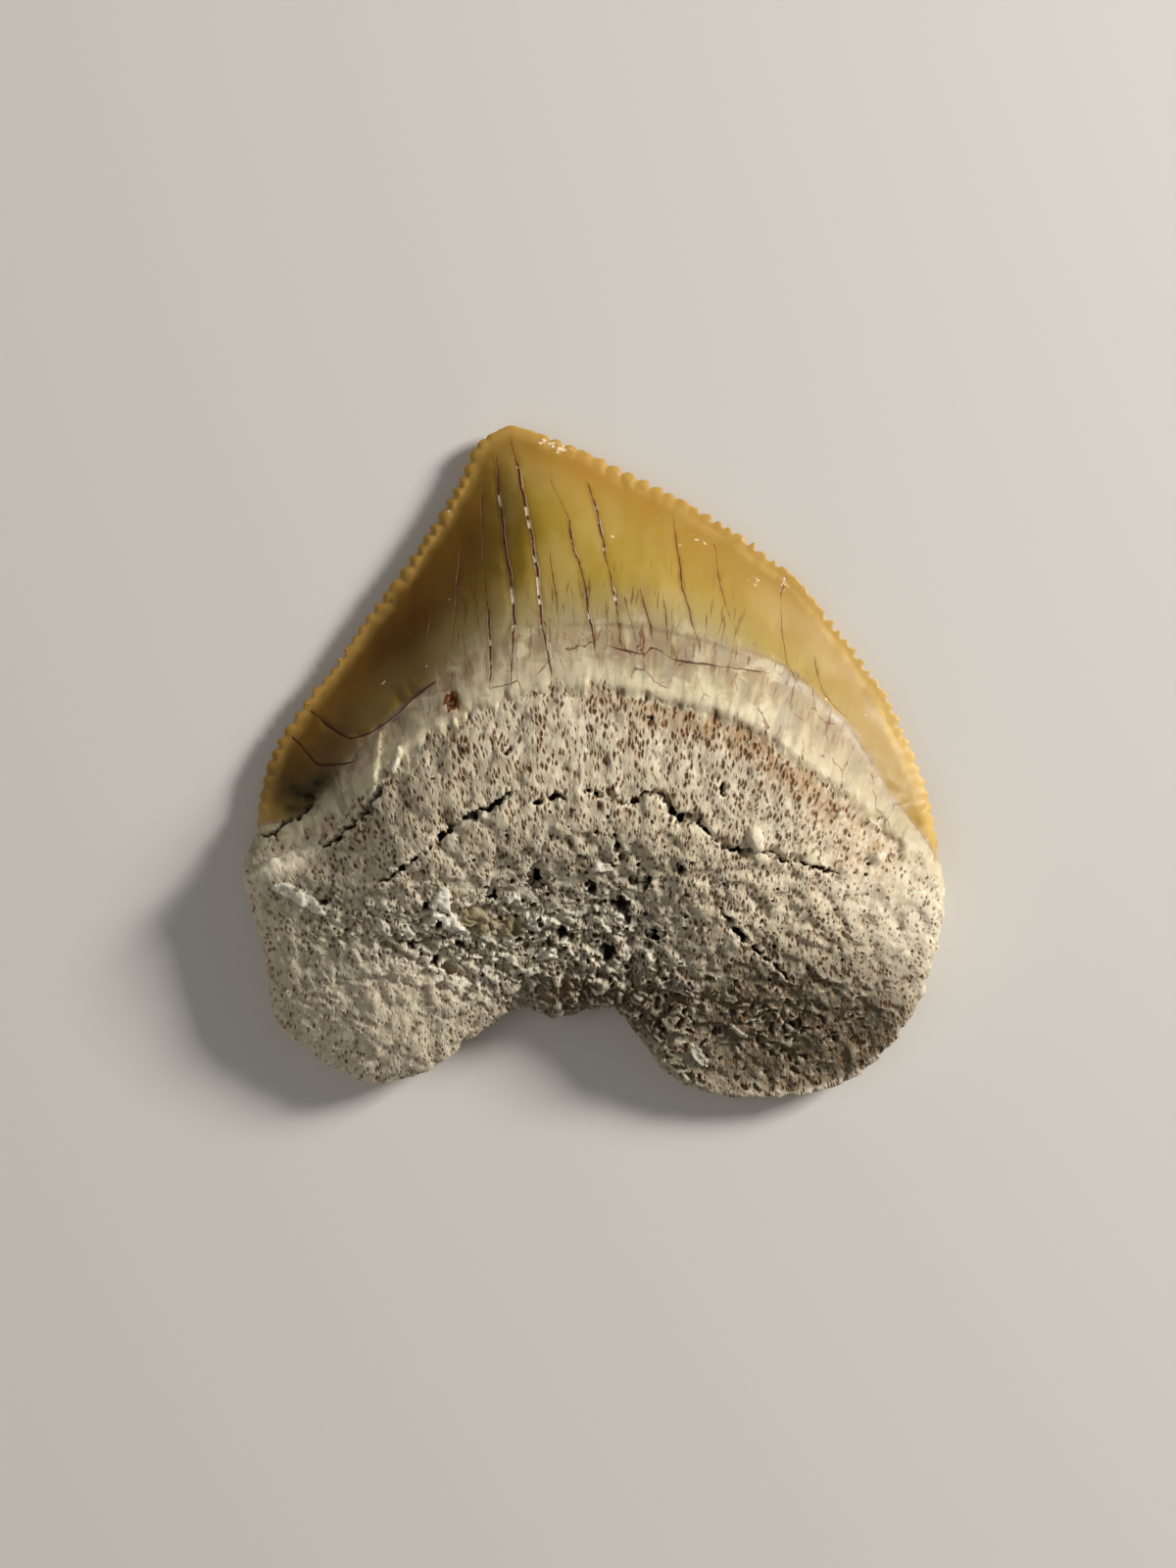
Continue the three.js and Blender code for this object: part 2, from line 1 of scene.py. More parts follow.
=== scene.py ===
# %% [markdown]
# # A fossil crow shark tooth
# This is one grown piece: a crown of glossy, golden enamel with a serrated cutting edge, and a thick
# root of porous, bone-like dentine. The solid model of the tooth is already made, at its real size,
# with its outline, serrations, ledge, gaping cracks and large pits. What it lacks is all that is finer,
# from pores to hairlines, and every colour. That is what these cells add.

# %% The fixed frame
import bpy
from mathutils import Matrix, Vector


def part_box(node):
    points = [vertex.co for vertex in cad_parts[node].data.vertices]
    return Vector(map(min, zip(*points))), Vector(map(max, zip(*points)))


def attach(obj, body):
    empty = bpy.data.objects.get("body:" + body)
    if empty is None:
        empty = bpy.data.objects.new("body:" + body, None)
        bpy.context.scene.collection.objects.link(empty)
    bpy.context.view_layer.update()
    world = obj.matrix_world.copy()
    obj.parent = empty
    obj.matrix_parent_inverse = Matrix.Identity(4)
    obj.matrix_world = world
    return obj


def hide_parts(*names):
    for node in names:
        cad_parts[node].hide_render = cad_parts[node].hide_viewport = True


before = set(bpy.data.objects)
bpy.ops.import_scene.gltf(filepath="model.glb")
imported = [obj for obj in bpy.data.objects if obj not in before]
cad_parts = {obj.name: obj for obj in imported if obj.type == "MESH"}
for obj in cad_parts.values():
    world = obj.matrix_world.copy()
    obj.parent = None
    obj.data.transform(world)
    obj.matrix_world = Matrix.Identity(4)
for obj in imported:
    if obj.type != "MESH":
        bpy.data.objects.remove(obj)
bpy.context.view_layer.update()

# %% [markdown]
# ## Working in millimetres
# A tooth 27 mm wide is awkward in metres: voxels and tolerances come close to the smallest numbers
# that some tools accept. So the skin is shaped in millimetres, counted from the middle of the tooth's
# box, and is made small again at the very end. The scale comes from the box itself.

# %% Units and helpers for points
import math

import bmesh
import bpy
import numpy as np
from mathutils import Matrix, Vector, kdtree

WIDTH_IN_MM = 27
low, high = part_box("tooth")
MM = (high.x - low.x) / WIDTH_IN_MM
MIDDLE = Vector(((low.x + high.x) / 2, (low.y + high.y) / 2, low.z))


def points_of(mesh):
    """The mesh's corners as rows of x, y, z."""
    flat = np.empty(len(mesh.vertices) * 3, np.float32)
    mesh.vertices.foreach_get("co", flat)
    return flat.reshape(-1, 3).astype(float)


def normals_of(mesh):
    """Which way the skin faces at each corner."""
    flat = np.empty(len(mesh.vertices) * 3, np.float32)
    mesh.vertices.foreach_get("normal", flat)
    return flat.reshape(-1, 3).astype(float)


def move_points(mesh, points):
    """Puts the mesh's corners at new places."""
    mesh.vertices.foreach_set("co", points.astype(np.float32).ravel())
    mesh.update()


print(f"one millimetre is {MM:.6f} m, and the middle is at {tuple(round(v, 6) for v in MIDDLE)}")

# %% [markdown]
# ## A smooth skin
# The solid has flat facets, which would flash like cut glass on polished enamel. A subdivision
# surface rounds them off, but it also shrinks every bump, and the serrations are only a fifth of a
# millimetre deep. So the cage is first pushed outwards, a few times over, until the smooth surface
# passes through the solid's own corners again. Sculpting by hand could do the same, but it wouldn't
# keep the outline exactly.

# %% The cage and the smooth surface through its corners
CAGE_PUSHES = 3
SMOOTH_LEVELS = 2


def with_modifier(mesh, kind, **settings):
    """The mesh after one modifier, as a new mesh."""
    bench = bpy.data.objects.new("bench", mesh)
    bpy.context.scene.collection.objects.link(bench)
    modifier = bench.modifiers.new(kind, kind)
    for name, value in settings.items():
        setattr(modifier, name, value)
    shaped = bench.evaluated_get(bpy.context.evaluated_depsgraph_get())
    result = bpy.data.meshes.new_from_object(shaped)
    bpy.data.objects.remove(bench)
    return result


def welded_cage(solid):
    """The solid's mesh in millimetres, with its corners joined."""
    shape = bmesh.new()
    shape.from_mesh(solid.data)
    shape.transform(Matrix.Scale(1 / MM, 4) @ Matrix.Translation(-MIDDLE))
    bmesh.ops.remove_doubles(shape, verts=shape.verts, dist=0.001)
    mesh = bpy.data.meshes.new("cage")
    shape.to_mesh(mesh)
    shape.free()
    return mesh


cage = welded_cage(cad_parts["tooth"])
solid_points = points_of(cage)
for push in range(CAGE_PUSHES):
    surface = with_modifier(cage, "SUBSURF", levels=1, use_limit_surface=True)
    missing = solid_points - points_of(surface)[: len(solid_points)]
    print(f"push {push}: the surface misses its corners by {np.abs(missing).max():.3f} mm at most")
    move_points(cage, points_of(cage) + missing)
smooth = with_modifier(cage, "SUBSURF", levels=SMOOTH_LEVELS, use_limit_surface=True)
print(f"the smooth surface has {len(smooth.polygons)} faces")

# %% [markdown]
# ## Even clay
# Pores can go anywhere on the root, so the skin needs corners that are close together everywhere.
# A voxel remesh lays an even net over the shape, as if it were dipped in fine clay. It loses whatever
# is thinner than a voxel, and the serrations come to a knife edge, so they are fattened by a hair
# first. The net has faint steps, which a few rounds of smoothing take away.

# %% The even net
VOXEL = 0.058
FATTENING = 0.045
POLISH_ROUNDS = 5


def largest_island(mesh):
    """The mesh without crumbs that don't hang together with the rest of it."""
    shape = bmesh.new()
    shape.from_mesh(mesh)
    unseen = set(shape.verts)
    islands = []
    while unseen:
        island = []
        front = [unseen.pop()]
        while front:
            corner = front.pop()
            island.append(corner)
            near = [edge.other_vert(corner) for edge in corner.link_edges]
            front += [v for v in near if v in unseen]
            unseen.difference_update(near)
        islands.append(island)
    islands.sort(key=len)
    bmesh.ops.delete(shape, geom=[v for island in islands[:-1] for v in island], context="VERTS")
    shape.to_mesh(mesh)
    shape.free()
    print(f"{len(islands) - 1} crumbs were taken away")
    return mesh


move_points(smooth, points_of(smooth) + normals_of(smooth) * FATTENING)
net = with_modifier(smooth, "REMESH", mode="VOXEL", voxel_size=VOXEL)
net = largest_island(with_modifier(net, "SMOOTH", factor=0.5, iterations=POLISH_ROUNDS))
print(f"the net has {len(net.vertices)} corners")

# %% [markdown]
# ## A map of the tooth
# Every finish on a tooth follows its anatomy: the enamel ends at a hem, a waxy neck lies below it,
# and the root starts at a ledge. These lines are drawn once, as a few points each. From them every
# corner of the skin learns how far it is from each line. The numbers are smooth, so they can be
# carried by the mesh and still give crisp edges, because the edge itself is only cut in the shader.

# %% The lines across the tooth, in millimetres from its middle
ENAMEL_HEM = [
    (-13.2, -2.5), (-11.9, -2.3), (-10.95, -1.8), (-10.0, -0.65), (-9.0, 0.7), (-7.5, 2.0), (-6.7, 2.7),
    (-4.7, 4.1), (-2.0, 5.0), (1.2, 5.1), (4.4, 4.5), (6.6, 4.0), (7.9, 3.3), (8.8, 2.3), (9.8, 1.4),
    (10.5, 0.35), (11.5, -1.25), (12.3, -2.3), (13.1, -3.5),
]
ROOT_LEDGE = [
    (-13.0, -3.6), (-11.1, -2.8), (-9.9, -2.0), (-8.4, -0.9), (-7.4, -0.1), (-6.3, 0.8), (-4.7, 1.8),
    (-2.9, 2.5), (0.3, 2.75), (2.3, 2.4), (4.2, 1.9), (6.2, 1.0), (8.1, -0.25), (9.4, -1.1), (10.2, -1.8),
    (12.0, -3.4), (13.1, -4.6),
]
LOWER_HEM = [(-12.6, -3.4), (-9, -2.3), (-5, -1.4), (0, -1.0), (5, -1.5), (9, -2.6), (12.8, -4.0)]
LOWER_NECK = 0.9  # how far below its hem the lower face's root begins
FIBRE_ROOT = Vector((0, -26))  # the root's fibres spread like a fan from here
FIBRE_REACH = 26
FAN_START = -6.5  # below this the fibres run straight down
ROUND_START = -3.2  # below this the pores are rounder,
ROUNDER = 0.6  # because their length counts for this much more
FLAKE_LEAN = -36  # the broken flakes lie along this, in degrees


def curve_through(corners, per_leg=6):
    """A smooth path through a few points, carried on past both ends."""
    given = np.array(corners, float)
    ends = [3 * given[0] - 2 * given[1], *given, 3 * given[-1] - 2 * given[-2]]
    path = []
    for before, start, end, after in zip(ends, ends[1:], ends[2:], ends[3:]):
        for t in np.arange(per_leg) / per_leg:
            path.append(
                start
                + 0.5 * t * (end - before)
                + t * t * (before - 2.5 * start + 2 * end - 0.5 * after)
                + 0.5 * t**3 * (3 * start - 3 * end + after - before)
            )
    return np.array([ends[0], *path, ends[-2], ends[-1]])


def above(corners, xy):
    """Signed distance from a line that runs from left to right, positive on the crown's side."""
    path = curve_through(corners)
    level = np.interp(xy[:, 0], path[:, 0], path[:, 1])
    slope = np.interp(xy[:, 0], path[:, 0], np.gradient(path[:, 1], path[:, 0]))
    return (xy[:, 1] - level) / np.hypot(1, slope)


def soft_step(value, start, end):
    """0 before start, 1 after end, and an easy curve between."""
    t = np.clip((value - start) / (end - start), 0, 1)
    return t * t * (3 - 2 * t)


print(f"the hem is drawn through {len(ENAMEL_HEM)} points and the ledge through {len(ROOT_LEDGE)}")

# %% [markdown]
# ## The rim
# Light comes through thin enamel, so the cutting edge looks warmer than the middle, and the distance
# from the edge is worth knowing. The rim of the tooth is the loop where the upper and the lower face
# meet. Its edges are easy to find: one neighbour looks up and the other looks down.

# %% Distance from the rim
RIM_STEP = 0.06


def rim_samples(mesh):
    """Points along the loop where the two faces meet."""
    shape = bmesh.new()
    shape.from_mesh(mesh)
    samples = []
    for edge in shape.edges:
        faces = edge.link_faces
        if len(faces) == 2 and faces[0].normal.z * faces[1].normal.z < 0:
            start, end = edge.verts[0].co, edge.verts[1].co
            count = max(1, round((end - start).length / RIM_STEP))
            samples += [start.lerp(end, step / count).xy for step in range(count)]
    shape.free()
    return samples


move_points(cage, solid_points)
rim = rim_samples(cage)
rim_tree = kdtree.KDTree(len(rim))
for number, point in enumerate(rim):
    rim_tree.insert(point.to_3d(), number)
rim_tree.balance()


def from_rim(xy):
    """How far in from the tooth's outline each point is."""
    return np.array([rim_tree.find((x, y, 0))[2] for x, y in xy.tolist()])


print(f"the rim is known at {len(rim)} points")

# %% [markdown]
# ## A softer ledge
# In the solid the neck ends in one clean step, and a clean step looks machined. The real one is frayed
# by the columns and slots of the bone. Here the step is smoothed out, and the pattern that is carved
# later breaks it up again. The right shoulder of the crown is calmed in the same way, as its enamel
# is quite flat. Each corner is blended towards a much smoothed copy of the net, by its own share.

# %% Blending towards a smoothed copy
LEDGE_ROUNDS = 60
LEDGE_REACH = 0.55

sharp_place = points_of(net)
calm_place = points_of(with_modifier(net, "SMOOTH", factor=0.5, iterations=LEDGE_ROUNDS))
calm_share = np.exp(-((above(ROOT_LEDGE, sharp_place[:, :2]) / LEDGE_REACH) ** 2))
shoulder = soft_step(above(ENAMEL_HEM, sharp_place[:, :2]), -2, -1) * soft_step(sharp_place[:, 0], 5.5, 8)
calm_share = np.maximum(calm_share, shoulder) * soft_step(from_rim(sharp_place[:, :2]), 0.5, 1.2)
calm_share *= soft_step(normals_of(net)[:, 2], 0, 0.5)
move_points(net, sharp_place + (calm_place - sharp_place) * calm_share[:, None])
print(f"the ledge is moved by {np.abs(calm_place - sharp_place)[calm_share > 0.9].max():.2f} mm at most")

# %% [markdown]
# ## Cracks of the enamel
# Enamel splits along its growth, from the tip down, so the hairline cracks stand side by side like
# the ribs of a fan. They are drawn as one family: each crack has a whole number, and a corner between
# cracks 3 and 4 gets a number between 3 and 4. Wherever that number is whole there is a crack. One
# smooth number so holds all these sharp lines. The third value of each point says how open the crack is.

# %% The family of cracks down the crown
CROWN_CRACKS = [
    [(-6.3, 6.1, 0.2), (-6.35, 5.2, 0.5), (-6.5, 4.3, 0.0)],
    [(-5.12, 8.56, 0.2), (-5.27, 6.9, 0.8), (-5.35, 5.6, 0.4), (-5.5, 4.3, 0.4), (-5.8, 3.0, 0.0)],
    [(-4.62, 7.9, 0.2), (-4.66, 6.2, 0.4), (-4.6, 5.0, 0.3), (-4.5, 4.2, 0.0)],
    [
        (-4.28, 11.5, 0.2), (-4.36, 9.4, 0.5), (-4.3, 7.9, 0.4), (-4.2, 6.6, 0.5), (-4.0, 5.3, 0.7),
        (-3.97, 4.2, 1.2), (-3.95, 3.1, 0.8), (-3.95, 2.9, 0.0),
    ],
    [
        (-3.85, 12.2, 0.0), (-3.71, 10.5, 0.9), (-3.55, 9.15, 1.0), (-3.35, 7.8, 1.0), (-3.16, 6.6, 0.9),
        (-3.06, 5.4, 1.1), (-3.1, 4.25, 0.8), (-3.2, 2.7, 0.3), (-3.2, 2.5, 0.0),
    ],
    [
        (-3.3, 12.8, 0.2), (-2.96, 11.3, 0.8), (-2.67, 9.9, 1.0), (-2.37, 8.4, 0.9), (-2.18, 7.2, 1.0),
        (-2.08, 5.8, 0.9), (-1.88, 4.6, 0.7), (-1.69, 3.6, 0.5), (-1.5, 2.2, 0.3), (-1.5, 1.9, 0.0),
    ],
    [
        (-2.8, 11.7, 0.0), (-2.3, 9.9, 0.0), (-1.75, 8.3, 0.2), (-1.6, 7.2, 0.4), (-1.47, 6.3, 0.5),
        (-1.36, 5.2, 0.3), (-1.3, 4.8, 0.0),
    ],
    [
        (-2.3, 11.7, 0.0), (-1.75, 10.3, 0.0), (-1.25, 9.3, 0.0), (-1.0, 8.1, 0.0), (-0.92, 7.0, 0.0),
        (-0.85, 6.1, 0.3), (-0.8, 5.3, 0.3), (-0.8, 5.0, 0.0),
    ],
    [
        (-2.05, 11.7, 0.1), (-1.49, 10.3, 0.4), (-1.0, 9.3, 0.5), (-0.8, 8.1, 0.8), (-0.48, 7.25, 0.7),
        (-0.23, 5.8, 0.8), (-0.08, 4.8, 0.9), (0.05, 4.2, 0.3), (0.3, 3.0, 0.0),
    ],
    [
        (-0.31, 10.9, 0.3), (0.1, 9.7, 0.9), (0.35, 8.25, 0.8), (0.6, 7.1, 0.5), (0.84, 6.1, 0.8),
        (1.0, 4.6, 0.7), (1.1, 4.0, 0.0),
    ],
    [(1.15, 6.3, 0.3), (1.3, 5.6, 0.5), (1.55, 4.6, 0.3), (1.7, 4.1, 0.0)],
    [(1.7, 6.7, 0.2), (1.95, 5.9, 0.5), (2.15, 5.1, 0.6), (2.25, 4.3, 0.0)],
    [(2.6, 6.4, 0.2), (2.75, 5.5, 0.5), (2.78, 4.0, 0.0)],
    [(3.0, 9.7, 0.3), (3.24, 7.9, 0.5), (3.4, 6.6, 0.55), (3.74, 5.3, 0.6), (4.07, 4.1, 0.2)],
    [(4.68, 8.4, 0.3), (4.8, 7.2, 0.45), (5.0, 6.2, 0.45), (5.26, 5.4, 0.4), (5.7, 4.6, 0.0)],
    [
        (7.5, 7.2, 0.3), (7.24, 6.4, 0.45), (7.28, 5.05, 0.35), (7.4, 3.9, 0.4), (7.75, 3.1, 0.35),
        (8.4, 2.1, 0.0),
    ],
    [
        (8.5, 4.3, 0.0), (8.57, 3.75, 0.35), (8.76, 2.75, 0.4), (9.25, 2.1, 0.35), (9.76, 1.6, 0.3),
        (10.3, 0.9, 0.0),
    ],
]
CLOSEST_CRACKS = 0.12  # mm between two of them


def crack_family(xy):
    """Each point's number among the cracks, what one step is worth in mm, and how open the crack is."""
    x, y = xy[:, 0], xy[:, 1]
    lines = []
    opens = []
    for crack in CROWN_CRACKS:
        ys, xs, strengths = (np.array([corner[i] for corner in crack[::-1]]) for i in (1, 0, 2))
        lines.append(np.interp(y, ys, xs))
        opens.append(np.interp(y, ys, strengths, left=0, right=0))
    for left, right in zip(range(len(lines) - 1), range(1, len(lines))):
        lines[right] = np.maximum(lines[right], lines[left] + CLOSEST_CRACKS)
    lines = np.array([lines[0] - 2, *lines, lines[-1] + 2])
    opens = np.array([opens[0] * 0, *opens, opens[0] * 0])
    leftmost = np.clip((lines < x).sum(0) - 1, 0, len(lines) - 2)
    column = np.arange(len(xy))
    start, end = lines[leftmost, column], lines[leftmost + 1, column]
    share = np.clip((x - start) / (end - start), 0, 1)
    nearest = leftmost + (share > 0.5)
    return leftmost + share, end - start, opens[nearest, column]


print(f"{len(CROWN_CRACKS)} cracks run down the crown")

# %% [markdown]
# ## Cracks that run across
# A few cracks cross the others, at the heel and along the neck, so each is a line of its own. They
# could be cut into the mesh, but a hairline is much narrower than its triangles, and a distance from a
# line stays sharp at any size. Past the line's ends the distance grows, so that the crack stops there.

# %% Single cracks
CROSS_CRACKS = {
    "heel_crack": [
        (-11.0, 1.9), (-10.7, 1.7), (-9.7, 0.95), (-8.9, 0.95), (-7.8, 1.55), (-7.0, 2.3), (-6.1, 3.0),
    ],
    "heel_fork": [(-11.7, 0.9), (-11.35, 0.6), (-10.67, -0.15), (-9.72, -0.15), (-9.2, -0.05)],
    "neck_crack": [(0.7, 4.3), (1.84, 4.05), (2.24, 4.3), (3.02, 3.86), (4.2, 3.66), (6.4, 3.4)],
}
PAST_THE_END = 3


def crack_gap(corners, xy):
    """Signed distance from a single crack, which grows past its ends so that the crack stops there."""
    past = np.maximum(corners[0][0] - xy[:, 0], xy[:, 0] - corners[-1][0])
    gap = above(corners, xy)
    return gap + np.sign(gap) * np.maximum(past, 0) * PAST_THE_END


print(f"{len(CROSS_CRACKS)} cracks run across the others")

# %% [markdown]
# ## Gaping cracks and vessel holes
# The root has split along a bow below its ledge, and its largest vessels open as holes. The solid has
# the widest of them already, but its facets are too coarse for a torn edge. So each crack is drawn once
# more as a line with a width, and each hole as an oval, to be frayed, deepened and darkened later on.
# In the gouged part some holes stand for the shadowed gaps beside broken flakes, so their dark colour
# is partly painted shade.

# %% The root's cracks and holes
FAR_AWAY = 9.0  # mm, for the face that has no such crack

# x, y and half the opening.
ROOT_CRACKS = [
    [
        (-8.4, -4.7, 0.0), (-7.9, -4.5, 0.06), (-7.1, -4.0, 0.07), (-6.3, -3.4, 0.02), (-5.8, -3.0, 0.07),
        (-5.2, -2.4, 0.03), (-4.6, -2.1, 0.07), (-3.65, -1.65, 0.09), (-3.2, -1.3, 0.08),
        (-2.85, -1.15, 0.0),
    ],
    [(-2.35, -1.65, 0.0), (-1.9, -1.5, 0.05), (-1.55, -1.35, 0.12), (-1.1, -1.4, 0.0)],
    [
        (-0.3, -1.1, 0.0), (0.2, -1.3, 0.06), (1.4, -1.6, 0.03), (1.9, -1.25, 0.05), (2.25, -1.25, 0.03),
        (2.8, -1.6, 0.05), (3.15, -2.1, 0.15), (3.8, -2.2, 0.02), (4.5, -2.9, 0.05), (5.1, -3.3, 0.08),
        (5.6, -3.4, 0.06), (6.5, -3.5, 0.04), (7.2, -3.8, 0.05), (7.9, -3.9, 0.03), (8.9, -4.2, 0.02),
        (9.8, -4.5, 0.0),
    ],
    [
        (-10.9, -3.6, 0.0), (-10.3, -3.3, 0.06), (-9.7, -2.8, 0.13), (-9.36, -2.5, 0.06),
        (-8.8, -2.0, 0.14), (-8.5, -1.65, 0.15), (-8.14, -1.1, 0.1), (-8.0, -0.9, 0.0),
    ],
    [
        (-13.0, -2.9, 0.0), (-12.3, -2.75, 0.1), (-12.0, -2.45, 0.07), (-11.5, -2.25, 0.02),
        (-11.1, -1.95, 0.06), (-10.8, -1.6, 0.0),
    ],
    [(4.85, -5.8, 0.0), (5.2, -6.2, 0.08), (6.1, -7.2, 0.03), (7.1, -8.0, 0.03), (7.5, -8.6, 0.0)],
]
# x, y, radius across, radius along.
HOLES = [
    (-2.15, -4.35, 0.36, 0.52), (-0.1, -4.9, 0.16, 0.3), (2.0, -4.7, 0.2, 0.26), (2.4, -6.6, 0.3, 0.24),
    (-3.9, -5.1, 0.16, 0.22), (0.9, -3.3, 0.13, 0.24), (-3.3, 0.3, 0.08, 0.16), (4.9, -1.0, 0.1, 0.2),
    (-6.4, -5.6, 0.16, 0.2), (-2.9, -6.9, 0.13, 0.1), (-5.1, -7.1, 0.26, 0.13), (-7.0, -7.0, 0.26, 0.14),
    (-6.1, -7.7, 0.18, 0.14), (-10.3, -5.4, 0.14, 0.1), (-5.9, -6.2, 0.14, 0.2), (-1.2, -6.6, 0.2, 0.26),
    (1.1, -5.6, 0.22, 0.3), (0.6, -7.4, 0.26, 0.34), (3.3, -4.2, 0.1, 0.18), (2.1, 1.6, 0.14, 0.12),
]


def root_gap(xy):
    """Distance from the edge of the nearest gaping crack or vessel hole, negative inside it."""
    nearest = np.full(len(xy), FAR_AWAY)
    for crack in ROOT_CRACKS:
        half = np.interp(xy[:, 0], [corner[0] for corner in crack], [corner[2] for corner in crack])
        nearest = np.minimum(nearest, np.abs(crack_gap([corner[:2] for corner in crack], xy)) - half)
    for x, y, across, along in HOLES:
        reach = np.hypot((xy[:, 0] - x) / across, (xy[:, 1] - y) / along)
        nearest = np.minimum(nearest, (reach - 1) * min(across, along))
    return nearest


print(f"{len(ROOT_CRACKS)} cracks gape in the root, and {len(HOLES)} vessels open in it")
